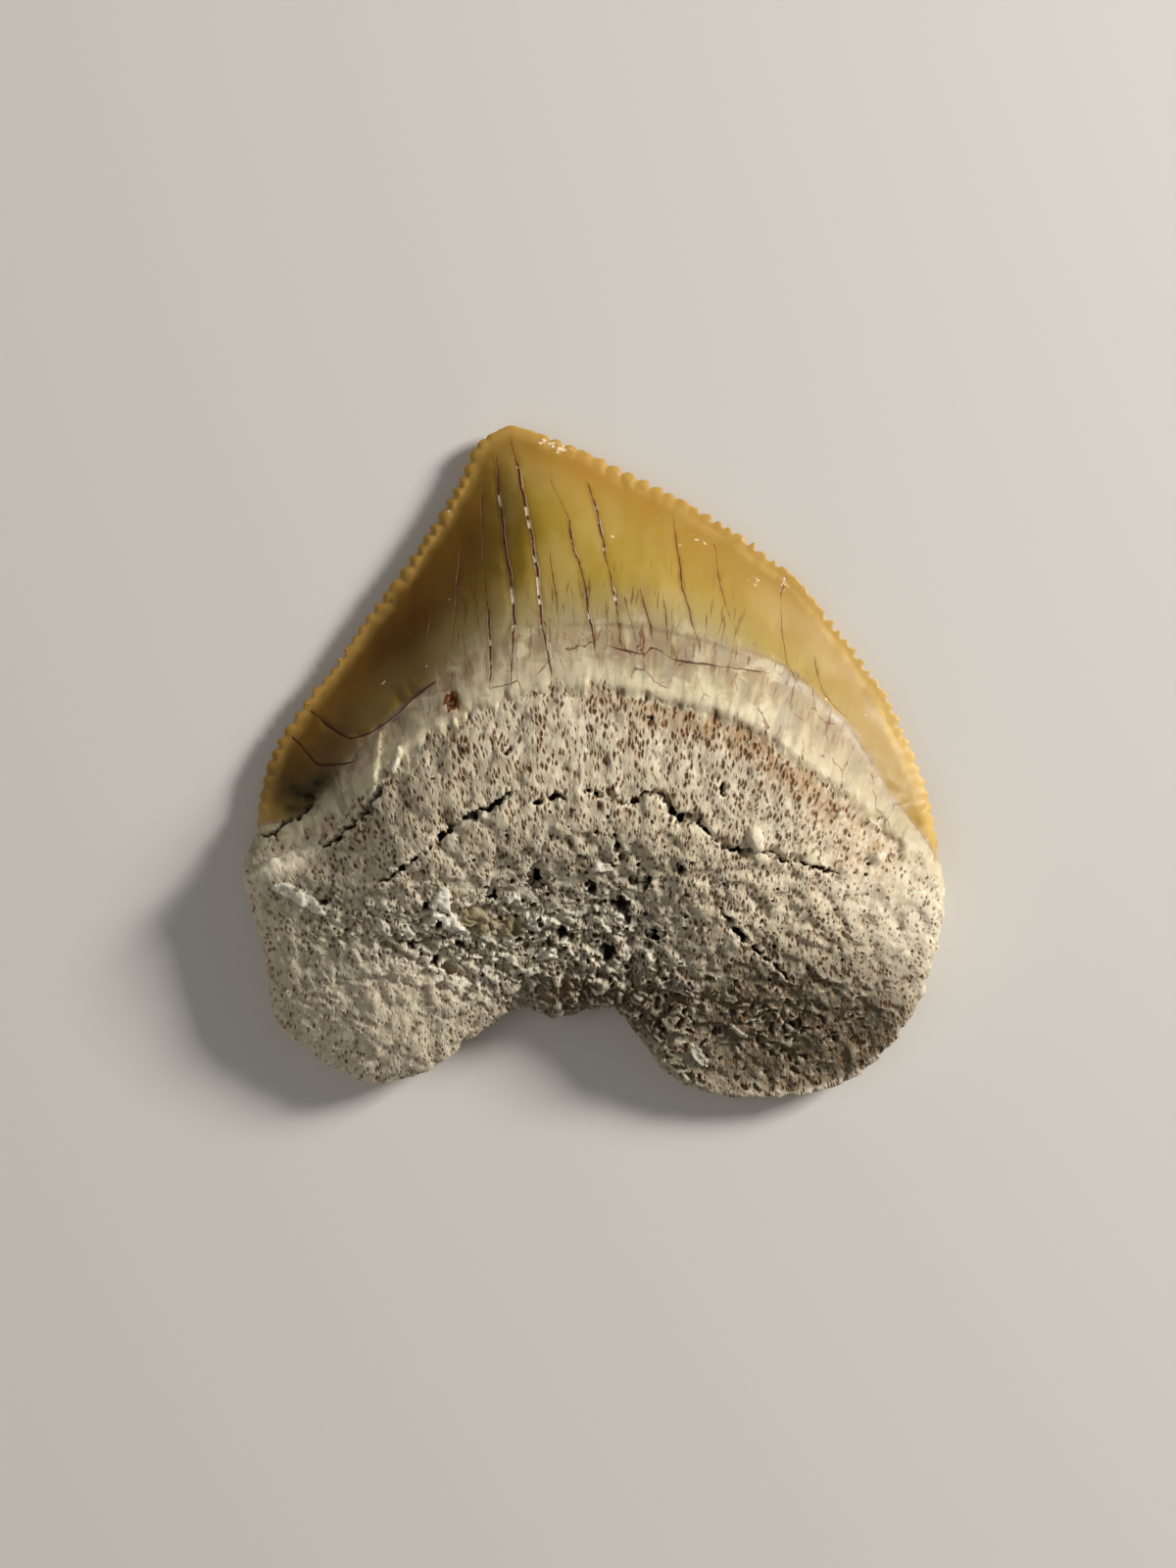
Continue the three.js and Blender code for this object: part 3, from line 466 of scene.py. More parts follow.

# %% [markdown]
# ## Stains, flakes, rough places, painted shade and painted light
# Stains, broken flakes and rough places are soft ovals, and so are patches of painted shade and painted
# light. They could be painted on the mesh by hand, but paint is lost whenever the mesh changes. An oval's
# edge looks too neat, so noise breaks it up later, as water and sediment do on a real fossil.

# %% Soft ovals
# Each oval is x, y, radius along, radius across, lean in degrees, strength.
PATCHES = {
    "rust": [
        (-6.9, 2.6, 1.7, 0.7, 38, 0.9), (-5.4, 2.2, 0.5, 0.8, 0, 1.0), (-9.4, -0.6, 2.0, 0.6, 40, 0.6),
        (3.4, 1.45, 4.2, 0.7, -15, 1.0), (8.0, -1.1, 3.4, 0.7, -38, 1.0), (3.0, 4.0, 3.6, 0.7, -8, 0.7),
        (-10.2, -2.5, 1.6, 0.35, 28, 0.6), (-8.9, 0.1, 1.6, 0.45, 45, 0.6),
        (7.5, -3.8, 3.0, 0.5, -12, 0.5), (2.2, 6.6, 0.4, 0.3, 0, 0.8), (-2.5, 3.6, 4.0, 0.8, 5, 0.4),
        (11.3, -4.0, 2.2, 2.2, 0, 0.5), (10.8, -7.6, 1.6, 3.0, -15, 0.3), (9.6, 1.2, 1.3, 1.0, -40, 0.4),
        (1.6, 6.5, 1.4, 1.1, 0, 0.3), (10.3, -3.0, 1.2, 0.8, -30, 0.8),
    ],
    "olive": [(-3.0, 8.2, 1.5, 5.0, 3, 1.0), (-6.0, 5.6, 1.6, 3.0, -25, 0.4)],
    # the enamel's dark amber, partly its own colour and partly painted shade on the side away from the
    # light
    "amber": [
        (-7.6, 5.6, 6.0, 3.2, 54, 1.0), (-11.6, 0.4, 3.0, 2.0, 60, 1.0), (-2.4, 12.4, 1.6, 1.4, 0, 0.4),
        (-6.0, 7.9, 2.6, 1.2, 60, 0.85),
    ],
    "honey": [(10.5, 0.6, 4.6, 2.2, -58, 1.0), (6.6, 5.6, 2.6, 1.8, -40, 0.6)],
    "peach": [
        (4.4, 8.6, 4.6, 1.5, -36, 0.8), (-0.6, 11.5, 2.4, 1.0, -25, 0.9), (-4.4, 10.4, 2.0, 0.6, 62, 0.5),
    ],
    "gouge": [
        (-3.6, -6.9, 4.0, 1.7, 0, 1.0), (0.9, -7.6, 1.6, 2.8, 0, 0.8), (-8.6, -6.2, 3.2, 1.2, -20, 0.5),
        (3.2, -9.6, 1.4, 1.8, 0, 0.6), (-1.5, -8.9, 2.6, 0.9, 0, 0.7),
    ],
    "coarse": [
        (0.4, -4.2, 4.6, 2.8, 0, 0.9), (7.6, -8.2, 4.6, 4.4, 0, 0.7), (-5.6, -4.9, 2.8, 1.6, 0, 0.4),
        (10.2, -3.3, 2.0, 1.4, -30, 0.4),
    ],
    "wrinkled": [
        (-9.0, -7.8, 4.2, 3.4, 0, 1.0), (7.0, -9.0, 5.0, 4.0, 0, 0.8), (-12.2, -5.0, 1.4, 2.0, 0, 0.6),
    ],
    "slots": [(3.2, 1.7, 4.4, 0.6, -15, 1.0), (7.8, -0.7, 3.0, 0.6, -38, 1.0)],
    "smooth": [
        (-8.8, -9.6, 4.2, 2.8, 0, 1.0), (-12.2, -5.0, 1.4, 2.0, 0, 0.6), (-11.9, -3.9, 1.6, 0.6, 24, 1.0),
        (11.9, -5.6, 2.0, 3.6, -8, 1.0), (9.6, -4.6, 2.4, 1.0, -15, 0.6),
    ],
    "knob": [
        (6.1, -3.0, 0.32, 0.55, 20, 1.0), (-11.9, -4.05, 1.5, 0.42, 22, 1.0),
        (10.7, -2.5, 0.45, 0.2, -30, 0.9), (10.9, -3.75, 0.35, 0.3, 0, 1.0),
        (11.9, -3.6, 0.25, 0.3, 0, 0.8), (9.3, -2.1, 0.28, 0.18, 0, 0.8),
    ],
    # paler bone, and partly painted light: a painted highlight on the root's right edge, which faces the
    # lamp, and brightening on parts that the lamp lights less
    "pale": [
        (-9.4, -7.4, 3.6, 2.8, 20, 0.35), (-12.2, -4.2, 1.7, 0.6, 25, 0.75),
        (-3.4, -7.0, 4.5, 2.0, 0, 0.8), (-1.0, -3.6, 4.0, 1.4, 0, 0.5), (11.8, -5.7, 2.0, 3.9, -8, 1.0),
        (-8.6, -11.2, 3.0, 1.6, 0, 0.3),
    ],
    # painted shade: the root is darkened where it falls away from the light, on the lower lobes, at the
    # notch and in a few faint places
    "dim": [
        (7.4, -11.4, 4.6, 2.2, 8, 1.0), (0.6, -9.7, 4.0, 1.4, 0, 1.0), (5.8, -9.0, 4.2, 1.6, 0, 0.5),
        (10.6, -10.2, 1.6, 2.2, -20, 0.5), (-6.5, -1.5, 2.8, 1.4, 30, 0.2),
        (5.4, -0.8, 3.4, 1.4, -25, 0.15), (-9.4, -8.4, 4.0, 2.8, 10, 0.18),
        (0.0, -4.1, 3.6, 1.8, 0, 0.28), (-11.0, -4.6, 1.7, 0.8, 15, 0.3), (-1.2, -8.7, 1.8, 0.8, 0, 0.5),
        (8.0, -7.8, 3.0, 1.4, 0, 0.4),
    ],
    "soot": [
        (-11.1, -1.5, 1.1, 0.6, 35, 1.0), (-12.9, -3.4, 0.8, 0.6, 0, 0.6),
        (-10.3, -0.7, 1.0, 0.4, 40, 0.5), (-12.0, -0.9, 0.9, 1.0, 60, 0.5),
        (-11.0, 0.2, 1.8, 1.2, 50, 0.25),
    ],
    "spongy": [(6.6, -10.6, 4.6, 2.2, 8, 1.0), (2.8, -9.8, 1.6, 2.0, 0, 0.6)],
    "flake": [
        (-11.0, -5.4, 1.0, 0.26, -32, 1.0), (-11.8, -5.0, 0.6, 0.22, -10, 0.9),
        (-5.8, -5.4, 0.3, 0.75, -15, 1.0), (-5.3, -6.3, 0.9, 0.28, -48, 1.0),
        (-2.1, -6.2, 0.6, 0.35, 10, 0.9), (0.3, -4.0, 0.8, 0.3, 0, 0.6), (-1.9, -7.4, 0.5, 0.3, 40, 0.8),
        (4.0, -11.3, 0.8, 0.25, -50, 0.8), (5.6, -10.4, 0.7, 0.2, -40, 0.7),
        (-3.0, -5.3, 0.4, 0.3, 0, 0.7), (-8.26, 0.0, 0.14, 1.15, -6, 0.9),
        (-7.5, -0.1, 0.16, 0.7, -8, 0.8),
    ],
    "crystal": [(-5.4, 2.15, 0.4, 0.65, 0, 1.0)],
    "shell": [(-4.55, -6.0, 0.5, 0.6, 30, 1.0), (-3.2, -6.35, 0.8, 0.4, 0, 1.0)],
    # white nicks in the enamel, partly chips and partly painted glints
    "nicked": [
        (-1.55, 12.2, 1.1, 0.28, -20, 1.0), (4.05, 8.55, 0.7, 0.2, -30, 1.0),
        (6.2, 7.0, 1.1, 0.4, -30, 0.7), (-1.3, 8.95, 0.4, 0.14, 0, 0.9), (7.4, 6.9, 0.2, 0.5, 0, 0.9),
        (-8.3, 2.9, 0.5, 0.2, 40, 0.8),
    ],
}


def oval(xy, x, y, along, across, lean, strength):
    """A soft oval: its strength in the middle, fading to nothing at about two radii."""
    turn = math.radians(lean)
    dx, dy = xy[:, 0] - x, xy[:, 1] - y
    u = (dx * math.cos(turn) + dy * math.sin(turn)) / along
    v = (dy * math.cos(turn) - dx * math.sin(turn)) / across
    return strength * np.exp(-(u * u + v * v))


print(f"{sum(len(ovals) for ovals in PATCHES.values())} ovals of {len(PATCHES)} kinds lie on the tooth")

# %% [markdown]
# ## Writing the map on the skin
# All of it becomes named numbers on the mesh. The same function serves twice: on the dense net, where
# it steers the relief, and on the finished skin, where it steers the colours. What both must agree on,
# the place that a corner had before the relief moved it, is stored with the corner.

# %% The map itself
def tooth_map(place, up):
    """The named numbers of each corner, from its place on the smooth skin and how far it looks up."""
    xy = place[:, :2]
    top = soft_step(up, -0.25, 0.25)
    upper = np.logaddexp(0, (xy[:, 1] - FAN_START) / 1.5) * 1.5 + FAN_START
    angle = np.arctan2(xy[:, 0] - FIBRE_ROOT.x, upper - FIBRE_ROOT.y)
    lean = math.radians(FLAKE_LEAN)
    along = xy[:, 0] * math.cos(lean) + xy[:, 1] * math.sin(lean)
    across = xy[:, 1] * math.cos(lean) - xy[:, 0] * math.sin(lean)
    reach = np.hypot(xy[:, 0] - FIBRE_ROOT.x, xy[:, 1] - FIBRE_ROOT.y)
    reach = reach - ROUNDER * np.logaddexp(0, ROUND_START - xy[:, 1])
    lower = above(LOWER_HEM, xy)
    split, split_gap, split_open = crack_family(xy)
    values = {
        "fan": np.column_stack([angle * FIBRE_REACH, reach, place[:, 2]]),
        "flow": np.column_stack([along, across, place[:, 2]]),
        "top": top,
        "hem": above(ENAMEL_HEM, xy) * top + lower * (1 - top),
        "ledge": above(ROOT_LEDGE, xy) * top + (lower + LOWER_NECK) * (1 - top),
        "fade": 0.15 + 0.85 * soft_step(xy[:, 0], -7.5, -4) * soft_step(xy[:, 0], 7.5, 4),
        "inset": from_rim(xy),
        "split": split,
        "split_gap": split_gap,
        "split_open": split_open * (0.4 + 0.6 * top),
        "root_gap": root_gap(xy) + FAR_AWAY * (1 - top),
    }
    for name, corners in CROSS_CRACKS.items():
        values[name] = crack_gap(corners, xy)
    for name, ovals in PATCHES.items():
        total = sum(oval(xy, *one) for one in ovals)
        values[name] = np.clip(total, 0, 1) * (0.35 + 0.65 * top)
    return values


def write_values(mesh, values):
    """Stores named numbers or vectors on the mesh's corners."""
    for name, value in values.items():
        kind, field = ("FLOAT_VECTOR", "vector") if value.ndim == 2 else ("FLOAT", "value")
        mesh.attributes.new(name, kind, "POINT").data.foreach_set(field, value.astype(np.float32).ravel())


def read_values(mesh, name, width=1):
    """Named numbers, or vectors if width is 3, from the mesh's corners."""
    flat = np.empty(len(mesh.vertices) * width, np.float32)
    mesh.attributes[name].data.foreach_get("vector" if width == 3 else "value", flat)
    return flat.reshape(-1, width).astype(float).squeeze()


place = points_of(net)
up = normals_of(net)[:, 2]
write_values(net, {"place": place, "up": up})
write_values(net, tooth_map(place, up))
carried = sorted(a.name for a in net.attributes if not a.name.startswith("."))
print("the net now carries:", ", ".join(carried))

# %% [markdown]
# ## Nodes written as sums
# Relief and colour have to agree: a pore has to be dark exactly where it is deep. Both are worked out
# by nodes, one set in Geometry Nodes and one in the material, and Blender's texture nodes are the same
# in the two. So the pattern is written once, as a recipe that any node tree can follow. A small class
# lets nodes be added and multiplied like numbers, which keeps the recipes short.

# %% Numbers that a node tree works out
class Field:
    """A number that changes over the surface, worked out by a node tree."""

    def __init__(self, tree, socket):
        self.tree = tree
        self.socket = socket

    def maths(self, kind, *others):
        node = self.tree.nodes.new("ShaderNodeMath")
        node.operation = kind
        for socket, value in zip(node.inputs, (self, *others)):
            wire(self.tree, socket, value)
        return Field(self.tree, node.outputs[0])

    def __add__(self, other):
        return self.maths("ADD", other)

    def __sub__(self, other):
        return self.maths("SUBTRACT", other)

    def __mul__(self, other):
        return self.maths("MULTIPLY", other)

    __radd__ = __add__
    __rmul__ = __mul__

    def __rsub__(self, other):
        return self.maths("MULTIPLY", -1).maths("ADD", other)

    def either(self, other):
        return self.maths("MAXIMUM", other)


def wire(tree, socket, value):
    """Feeds a socket with a field, or with a plain number, vector or colour."""
    if isinstance(value, Field):
        tree.links.new(value.socket, socket)
    else:
        socket.default_value = value


print("fields of a node tree can be added, subtracted and multiplied")

# %% [markdown]
# ## Ingredients for the recipes
# Noise gives clouds and grain, scattered cells give pores, and the seams between cells give a net of
# cracks. Geometry Nodes and materials name a few of these nodes differently. The class below hides
# that, and it measures every pattern in millimetres, so that a pore has the width that is asked for.

# %% The ingredients
class Recipe:
    """The ingredients that a node tree, for shape or for finish, can be asked for."""

    def __init__(self, tree):
        self.tree = tree
        self.shape = tree.bl_idname == "GeometryNodeTree"

    def named(self, name, vector=False):
        """A named number or vector of the mesh."""
        if self.shape:
            node = self.tree.nodes.new("GeometryNodeInputNamedAttribute")
            node.data_type = "FLOAT_VECTOR" if vector else "FLOAT"
            node.inputs["Name"].default_value = name
            return Field(self.tree, node.outputs["Attribute"])
        node = self.tree.nodes.new("ShaderNodeAttribute")
        node.attribute_name = name
        return Field(self.tree, node.outputs["Vector" if vector else "Fac"])

    def stretched(self, place, size):
        """Coordinates in which one unit is this many millimetres, each way."""
        node = self.tree.nodes.new("ShaderNodeVectorMath")
        node.operation = "MULTIPLY"
        wire(self.tree, node.inputs[0], place)
        node.inputs[1].default_value = [1 / length for length in size]
        return Field(self.tree, node.outputs[0])

    def noise(self, place, size, detail=2, low=0.3, high=0.7):
        """Clouds of that size in mm, spread over 0 to 1."""
        node = self.tree.nodes.new("ShaderNodeTexNoise")
        wire(self.tree, node.inputs["Vector"], self.stretched(place, size))
        node.inputs["Scale"].default_value = 1
        node.inputs["Detail"].default_value = detail
        return self.ramp(Field(self.tree, node.outputs[0]), low, high, smooth=False)

    def cells(self, place, size):
        """Scattered cells of that size in mm: how far off each centre is, and a number of its own."""
        node = self.tree.nodes.new("ShaderNodeTexVoronoi")
        wire(self.tree, node.inputs["Vector"], self.stretched(place, size))
        node.inputs["Scale"].default_value = 1
        own = self.tree.nodes.new(("Function" if self.shape else "Shader") + "NodeSeparateColor")
        self.tree.links.new(node.outputs["Color"], own.inputs[0])
        return Field(self.tree, node.outputs["Distance"]), Field(self.tree, own.outputs[0])

    def seams(self, place, size):
        """How far each point is from the seam between two cells of that size in mm."""
        node = self.tree.nodes.new("ShaderNodeTexVoronoi")
        node.feature = "DISTANCE_TO_EDGE"
        wire(self.tree, node.inputs["Vector"], self.stretched(place, size))
        node.inputs["Scale"].default_value = 1
        return Field(self.tree, node.outputs["Distance"])

    def bent(self, place, size, reach):
        """Coordinates that wander by up to that reach in mm, in waves of that size."""
        node = self.tree.nodes.new("ShaderNodeTexNoise")
        wire(self.tree, node.inputs["Vector"], self.stretched(place, size))
        node.inputs["Scale"].default_value = 1
        node.inputs["Detail"].default_value = 2
        shift = self.tree.nodes.new("ShaderNodeVectorMath")
        shift.operation = "MULTIPLY_ADD"
        self.tree.links.new(node.outputs[1], shift.inputs[0])
        shift.inputs[1].default_value = [2 * reach] * 3
        wire(self.tree, shift.inputs[2], place)
        return Field(self.tree, shift.outputs[0])

    def ramp(self, value, start, end, smooth=True):
        """0 before start and 1 after end, either of which may be the larger."""
        node = self.tree.nodes.new("ShaderNodeMapRange")
        node.interpolation_type = "SMOOTHSTEP" if smooth else "LINEAR"
        wire(self.tree, node.inputs["Value"], value)
        wire(self.tree, node.inputs["From Min"], start)
        wire(self.tree, node.inputs["From Max"], end)
        return Field(self.tree, node.outputs[0])

    def tint(self, colour, other, share):
        """A colour turned towards another by a share."""
        node = self.tree.nodes.new("ShaderNodeMix")
        node.data_type = "RGBA"
        wire(self.tree, node.inputs[0], share)
        wire(self.tree, node.inputs[6], colour)
        wire(self.tree, node.inputs[7], other)
        return Field(self.tree, node.outputs[2])


print("recipes can be followed in Geometry Nodes and in materials")

# %% [markdown]
# ## The root's pores and fibres
# The root is bundles of mineral fibres, run through by vessels that open as pores. Near the ledge the
# openings are narrow and lie along the fibres. Lower down they are rounder and larger, and where the
# surface has been gouged away the bone is ragged: its chips and folds lean their own way. Cells
# scattered through space give the pores. Only those whose centre lies near the surface open in it, so
# their sizes vary by themselves.

# %% The recipe of the root's surface
# How wide, long and deep the cells or clouds of each pattern are, in mm.
FINE_PORE = (0.13, 0.32, 0.7)
COARSE_PORE = (0.38, 0.44, 0.8)
SLOT = (0.17, 0.75, 1.2)
SLIVER = (0.24, 0.8, 0.5)
FIBRE = (0.15, 0.6, 0.5)
LUMP = (0.75, 0.9, 0.9)
CHIP = (1.0, 0.42, 0.6)
CRUMPLE = (0.9, 0.42, 0.6)
SPONGE = (0.4, 0.42, 0.5)
COLUMN = (0.42, 3.0, 1.5)


def root_pattern(recipe):
    """Each feature of the root, from 0 to 1, and the frayed distance from its ledge, in mm."""
    straight = recipe.named("fan", vector=True)
    fan = recipe.bent(straight, (0.9, 1.4, 1.2), 0.16)
    column = recipe.noise(straight, COLUMN, detail=2)
    ragged = recipe.noise(straight, (0.45, 0.8, 0.8), detail=3) - 0.5
    ledge = recipe.named("ledge") + ragged * 0.5 + (column - 0.5) * 0.7
    bone = recipe.ramp(ledge, 0.06, -0.2)
    coarse, gouge, smooth = (recipe.named(name) for name in ("coarse", "gouge", "smooth"))
    wobbly = recipe.bent(fan, (0.24, 0.34, 0.3), 0.07)
    near, own = recipe.cells(wobbly, FINE_PORE)
    crowded = recipe.noise(straight, (0.9, 0.8, 0.8), detail=2)
    size = own * (crowded * 0.22 + 0.28) - smooth * 0.1
    fine = recipe.ramp(near, size + 0.06, size - 0.08)
    faint = own * 0.5 + 0.45
    dimple = recipe.ramp(near, size + 0.36, size - 0.05) * (1 - smooth * 0.5)
    near, own = recipe.cells(wobbly, SLOT)
    size = own * 0.22 + 0.12
    slot = recipe.ramp(near, size + 0.08, size - 0.08) * recipe.ramp(recipe.named("slots"), 0.3, 0.7)
    near, own = recipe.cells(wobbly, COARSE_PORE)
    size = (own * 0.66 - 0.26) * (coarse + gouge * 0.6)
    wide = recipe.ramp(near, size + 0.06, size - 0.03) * recipe.ramp(size, 0.0, 0.06)
    brim = recipe.ramp(near, size + 0.25, size + 0.07) * recipe.ramp(size, 0.0, 0.1)
    swirl = recipe.bent(recipe.named("flow", vector=True), (1.8, 1.6, 1.6), 0.7)
    ragged_swirl = recipe.bent(swirl, (0.3, 0.3, 0.3), 0.12)
    chip_own = recipe.cells(ragged_swirl, CHIP)[1]
    chip_gap = recipe.ramp(recipe.seams(ragged_swirl, CHIP), 0.1, 0.0)
    fold = recipe.noise(swirl, CRUMPLE, detail=1, low=0.0, high=1.0) - 0.5
    spongy_near, spongy_own = recipe.cells(recipe.bent(ragged_swirl, (0.5, 0.5, 0.5), 0.2), SPONGE)
    spongy = recipe.ramp(spongy_near, spongy_own * 0.34 + 0.16, spongy_own * 0.34)
    rough_edge = (recipe.noise(straight, (0.3, 0.34, 0.3), detail=2) - 0.5) * 0.22
    gap = recipe.ramp(recipe.named("root_gap") + rough_edge, 0.03, -0.04)
    flake = recipe.ramp(recipe.named("flake") + rough_edge, 0.4, 0.47)
    waxy = recipe.ramp(recipe.noise(fan, (0.8, 0.7, 0.7), detail=2), 0.6, 0.8) * (coarse * 0.7 + 0.3)
    shell = recipe.ramp(recipe.named("shell") + rough_edge, 0.4, 0.47)
    knob = recipe.ramp(recipe.named("knob") + rough_edge * 0.5, 0.25, 0.85)
    waxy = waxy.either(flake).either(shell).either(knob)
    whole = 1 - waxy * 0.85
    return {
        "bone": bone,
        "gouge": gouge * bone,
        "rough": (coarse * 0.5).either(gouge) * bone,
        "fine": (fine * faint * whole).either(slot) * bone,
        "dimple": dimple * whole * bone,
        "wide": wide * bone,
        "brim": brim * bone,
        "gap": gap,
        "groove": recipe.ramp(recipe.seams(fan, SLIVER), 0.14, 0.0) * bone * whole * (1 - smooth * 0.6),
        "fibre": recipe.noise(fan, FIBRE, detail=2),
        "lump": recipe.ramp(recipe.noise(fan, LUMP, detail=1), 0.05, 0.65),
        "fold": recipe.ramp(fold.maths("ABSOLUTE"), 0.16, 0.0),
        "column": column,
        "chip": chip_own,
        "chip_gap": chip_gap * gouge * bone,
        "waxy": waxy * bone,
        "flake": flake,
        "knob": knob,
        "shell": shell * bone,
        "spongy": spongy * recipe.named("spongy") * bone,
        "ledge": ledge,
    }


print(f"fine pores sit in cells {FINE_PORE[0]} mm wide, and coarse ones in cells {COARSE_PORE[0]} mm wide")

# %% [markdown]
# ## Cracks, in nodes
# A crack of the family lies where the number of the family is whole. A little noise makes it wander,
# and a second noise closes it here and there, as real hairlines do. Along the widest cracks the enamel
# has chipped, which leaves pale lips beside them.

# %% The recipe of the cracks
WANDER = 0.07  # how wide a hairline wanders, in mm
WORN_SIDE = 0.08  # how far beside a crack its enamel is worn pale, in mm


def crack_pattern(recipe):
    """How much of a crack there is, from 0 to 1, with how far off and how open the nearest is."""
    place = recipe.named("place", vector=True)
    wander = (recipe.noise(place, (0.5, 0.9, 0.9), detail=3) - 0.5) * WANDER
    number = recipe.named("split")
    away = (number - number.maths("ROUND")) * recipe.named("split_gap") + wander
    patchy = recipe.noise(place, (2.0, 0.7, 2.0), detail=2)
    strength = recipe.named("split_open") * (patchy * 0.7 + 0.55)
    beside = away.maths("ABSOLUTE")
    chipped = recipe.ramp(recipe.noise(place, (2.0, 0.6, 2.0), detail=3), 0.5, 0.62)
    chipped = chipped * recipe.ramp(strength, 0.7, 0.9)
    family = recipe.ramp(beside, strength * 0.05 + 0.01, strength * 0.025 - 0.005)
    family = family * recipe.ramp(strength, 0.1, 0.5)
    lip = recipe.ramp(beside, 0.06, 0.03) * chipped
    worn = recipe.ramp((away - WORN_SIDE).maths("ABSOLUTE"), 0.035, 0.0) * recipe.ramp(strength, 0.6, 0.8)
    lip = lip.either(worn * 0.5)
    bold = recipe.named("amber") * 0.02
    single = None
    for name in CROSS_CRACKS:
        gap = (recipe.named(name) + wander * 0.6).maths("ABSOLUTE")
        line = recipe.ramp(gap, bold + patchy * 0.07 + 0.015, bold + patchy * 0.04 - 0.012)
        single = line if single is None else single.either(line)
    single = single * recipe.named("top")
    return {
        "family": family * (1 - chipped),
        "single": single,
        "beside": beside,
        "strength": strength,
        "lip": lip,
    }


print(f"a hairline wanders over {WANDER} mm")

# %% [markdown]
# ## Relief
# Geometry Nodes push every corner of the net along its normal by the sum of these patterns, each with
# its depth in millimetres. Whatever is wider than three corners of the finished skin gets true depth,
# which gives true shadows under a low light. What is finer gets a trace of depth, and the rest as bump
# in the material: its corners would be too few, and the pores would come out as jagged dents.

# %% The relief tree
# Depths and heights, in mm.
WIDE_DEPTH = 0.22
GAP_DEPTH = 0.45
LUMP_HEIGHT = 0.1
CHIP_HEIGHT = 0.26
CHIP_GAP_DEPTH = 0.12
FOLD_HEIGHT = 0.18
SPONGY_DEPTH = 0.24
ROUGH_HEIGHT = 0.2
WAXY_HEIGHT = 0.03
FLAKE_HEIGHT = 0.14
KNOB_HEIGHT = 0.22
COLUMN_HEIGHT = 0.09
FIBRE_HEIGHT = 0.014
STRIPE_HEIGHT = 0.006  # the fibres that show through the waxy neck
BRIM_HEIGHT = 0.02
PORE_DEPTH = 0.06
DIMPLE_DEPTH = 0.06
WIDE_BUMP = 0.08  # what the bump adds to the wide pores' true depth
HAIRLINE_DEPTH = 0.03
LIP_DEPTH = 0.01
FINE_SHARE = 0.2  # of the fine relief, how much also goes into the skin


def fine_height(recipe, root, cracks):
    """The height, in mm, of whatever is too fine for the skin's corners."""
    height = root["bone"] * root["fibre"] * FIBRE_HEIGHT + root["brim"] * BRIM_HEIGHT
    height = height - root["fine"] * PORE_DEPTH - root["dimple"] * DIMPLE_DEPTH - root["wide"] * WIDE_BUMP
    neck = recipe.ramp(recipe.named("hem"), 0.4, -0.6) * (1 - root["bone"])
    height = height + neck * root["fibre"] * STRIPE_HEIGHT
    return height - cracks["family"].either(cracks["single"]) * HAIRLINE_DEPTH - cracks["lip"] * LIP_DEPTH


def relief_height(recipe):
    """The height, in mm, that the surface is raised by."""
    root = root_pattern(recipe)
    height = root["bone"] * (root["lump"] - 0.5) * LUMP_HEIGHT
    height = height - root["wide"] * WIDE_DEPTH - root["gap"] * GAP_DEPTH
    height = height + root["gouge"] * (root["chip"] - 0.5) * CHIP_HEIGHT
    height = height - root["chip_gap"] * CHIP_GAP_DEPTH
    height = height + root["rough"] * (root["lump"] - 0.6) * ROUGH_HEIGHT
    wrinkled = recipe.named("wrinkled") * root["bone"]
    folded = (root["gouge"] * 0.8).either(root["rough"] * 0.4).either(wrinkled * 0.4)
    height = height + folded * (root["fold"] - 0.5) * FOLD_HEIGHT
    height = height - root["spongy"] * SPONGY_DEPTH + root["waxy"] * WAXY_HEIGHT
    height = height + root["flake"] * FLAKE_HEIGHT + root["knob"] * KNOB_HEIGHT
    hem_band = recipe.ramp(root["ledge"], -0.1, 0.15) * recipe.ramp(root["ledge"], 1.4, 0.2)
    height = height + hem_band * root["column"] * COLUMN_HEIGHT
    return height + fine_height(recipe, root, crack_pattern(recipe)) * FINE_SHARE


def relief_tree():
    """A Geometry Nodes tree that moves each corner along its normal."""
    tree = bpy.data.node_groups.new("tooth relief", "GeometryNodeTree")
    tree.interface.new_socket("Geometry", in_out="INPUT", socket_type="NodeSocketGeometry")
    tree.interface.new_socket("Geometry", in_out="OUTPUT", socket_type="NodeSocketGeometry")
    entry = tree.nodes.new("NodeGroupInput")
    leave = tree.nodes.new("NodeGroupOutput")
    mover = tree.nodes.new("GeometryNodeSetPosition")
    normal = tree.nodes.new("GeometryNodeInputNormal")
    offset = tree.nodes.new("ShaderNodeVectorMath")
    offset.operation = "SCALE"
    height = relief_height(Recipe(tree))
    tree.links.new(normal.outputs[0], offset.inputs[0])
    tree.links.new(height.socket, offset.inputs["Scale"])
    tree.links.new(offset.outputs[0], mover.inputs["Offset"])
    tree.links.new(entry.outputs[0], mover.inputs["Geometry"])
    tree.links.new(mover.outputs[0], leave.inputs[0])
    return tree


carved = with_modifier(net, "NODES", node_group=relief_tree())
moved = np.linalg.norm(points_of(carved) - place, axis=1)
print(f"the relief moves the skin by {moved.mean():.3f} mm on average and {moved.max():.3f} mm at most")

# %% [markdown]
# ## Hollows
# Hollows are darkened later, partly as the stained sediment of a fossil and partly as painted shade, and
# raised places are made paler. To know which is which, the carved skin is smoothed until its relief is
# gone, and each corner measures how far it lies below that calm surface.

# %% How deep each corner lies
CALM_ROUNDS = 45

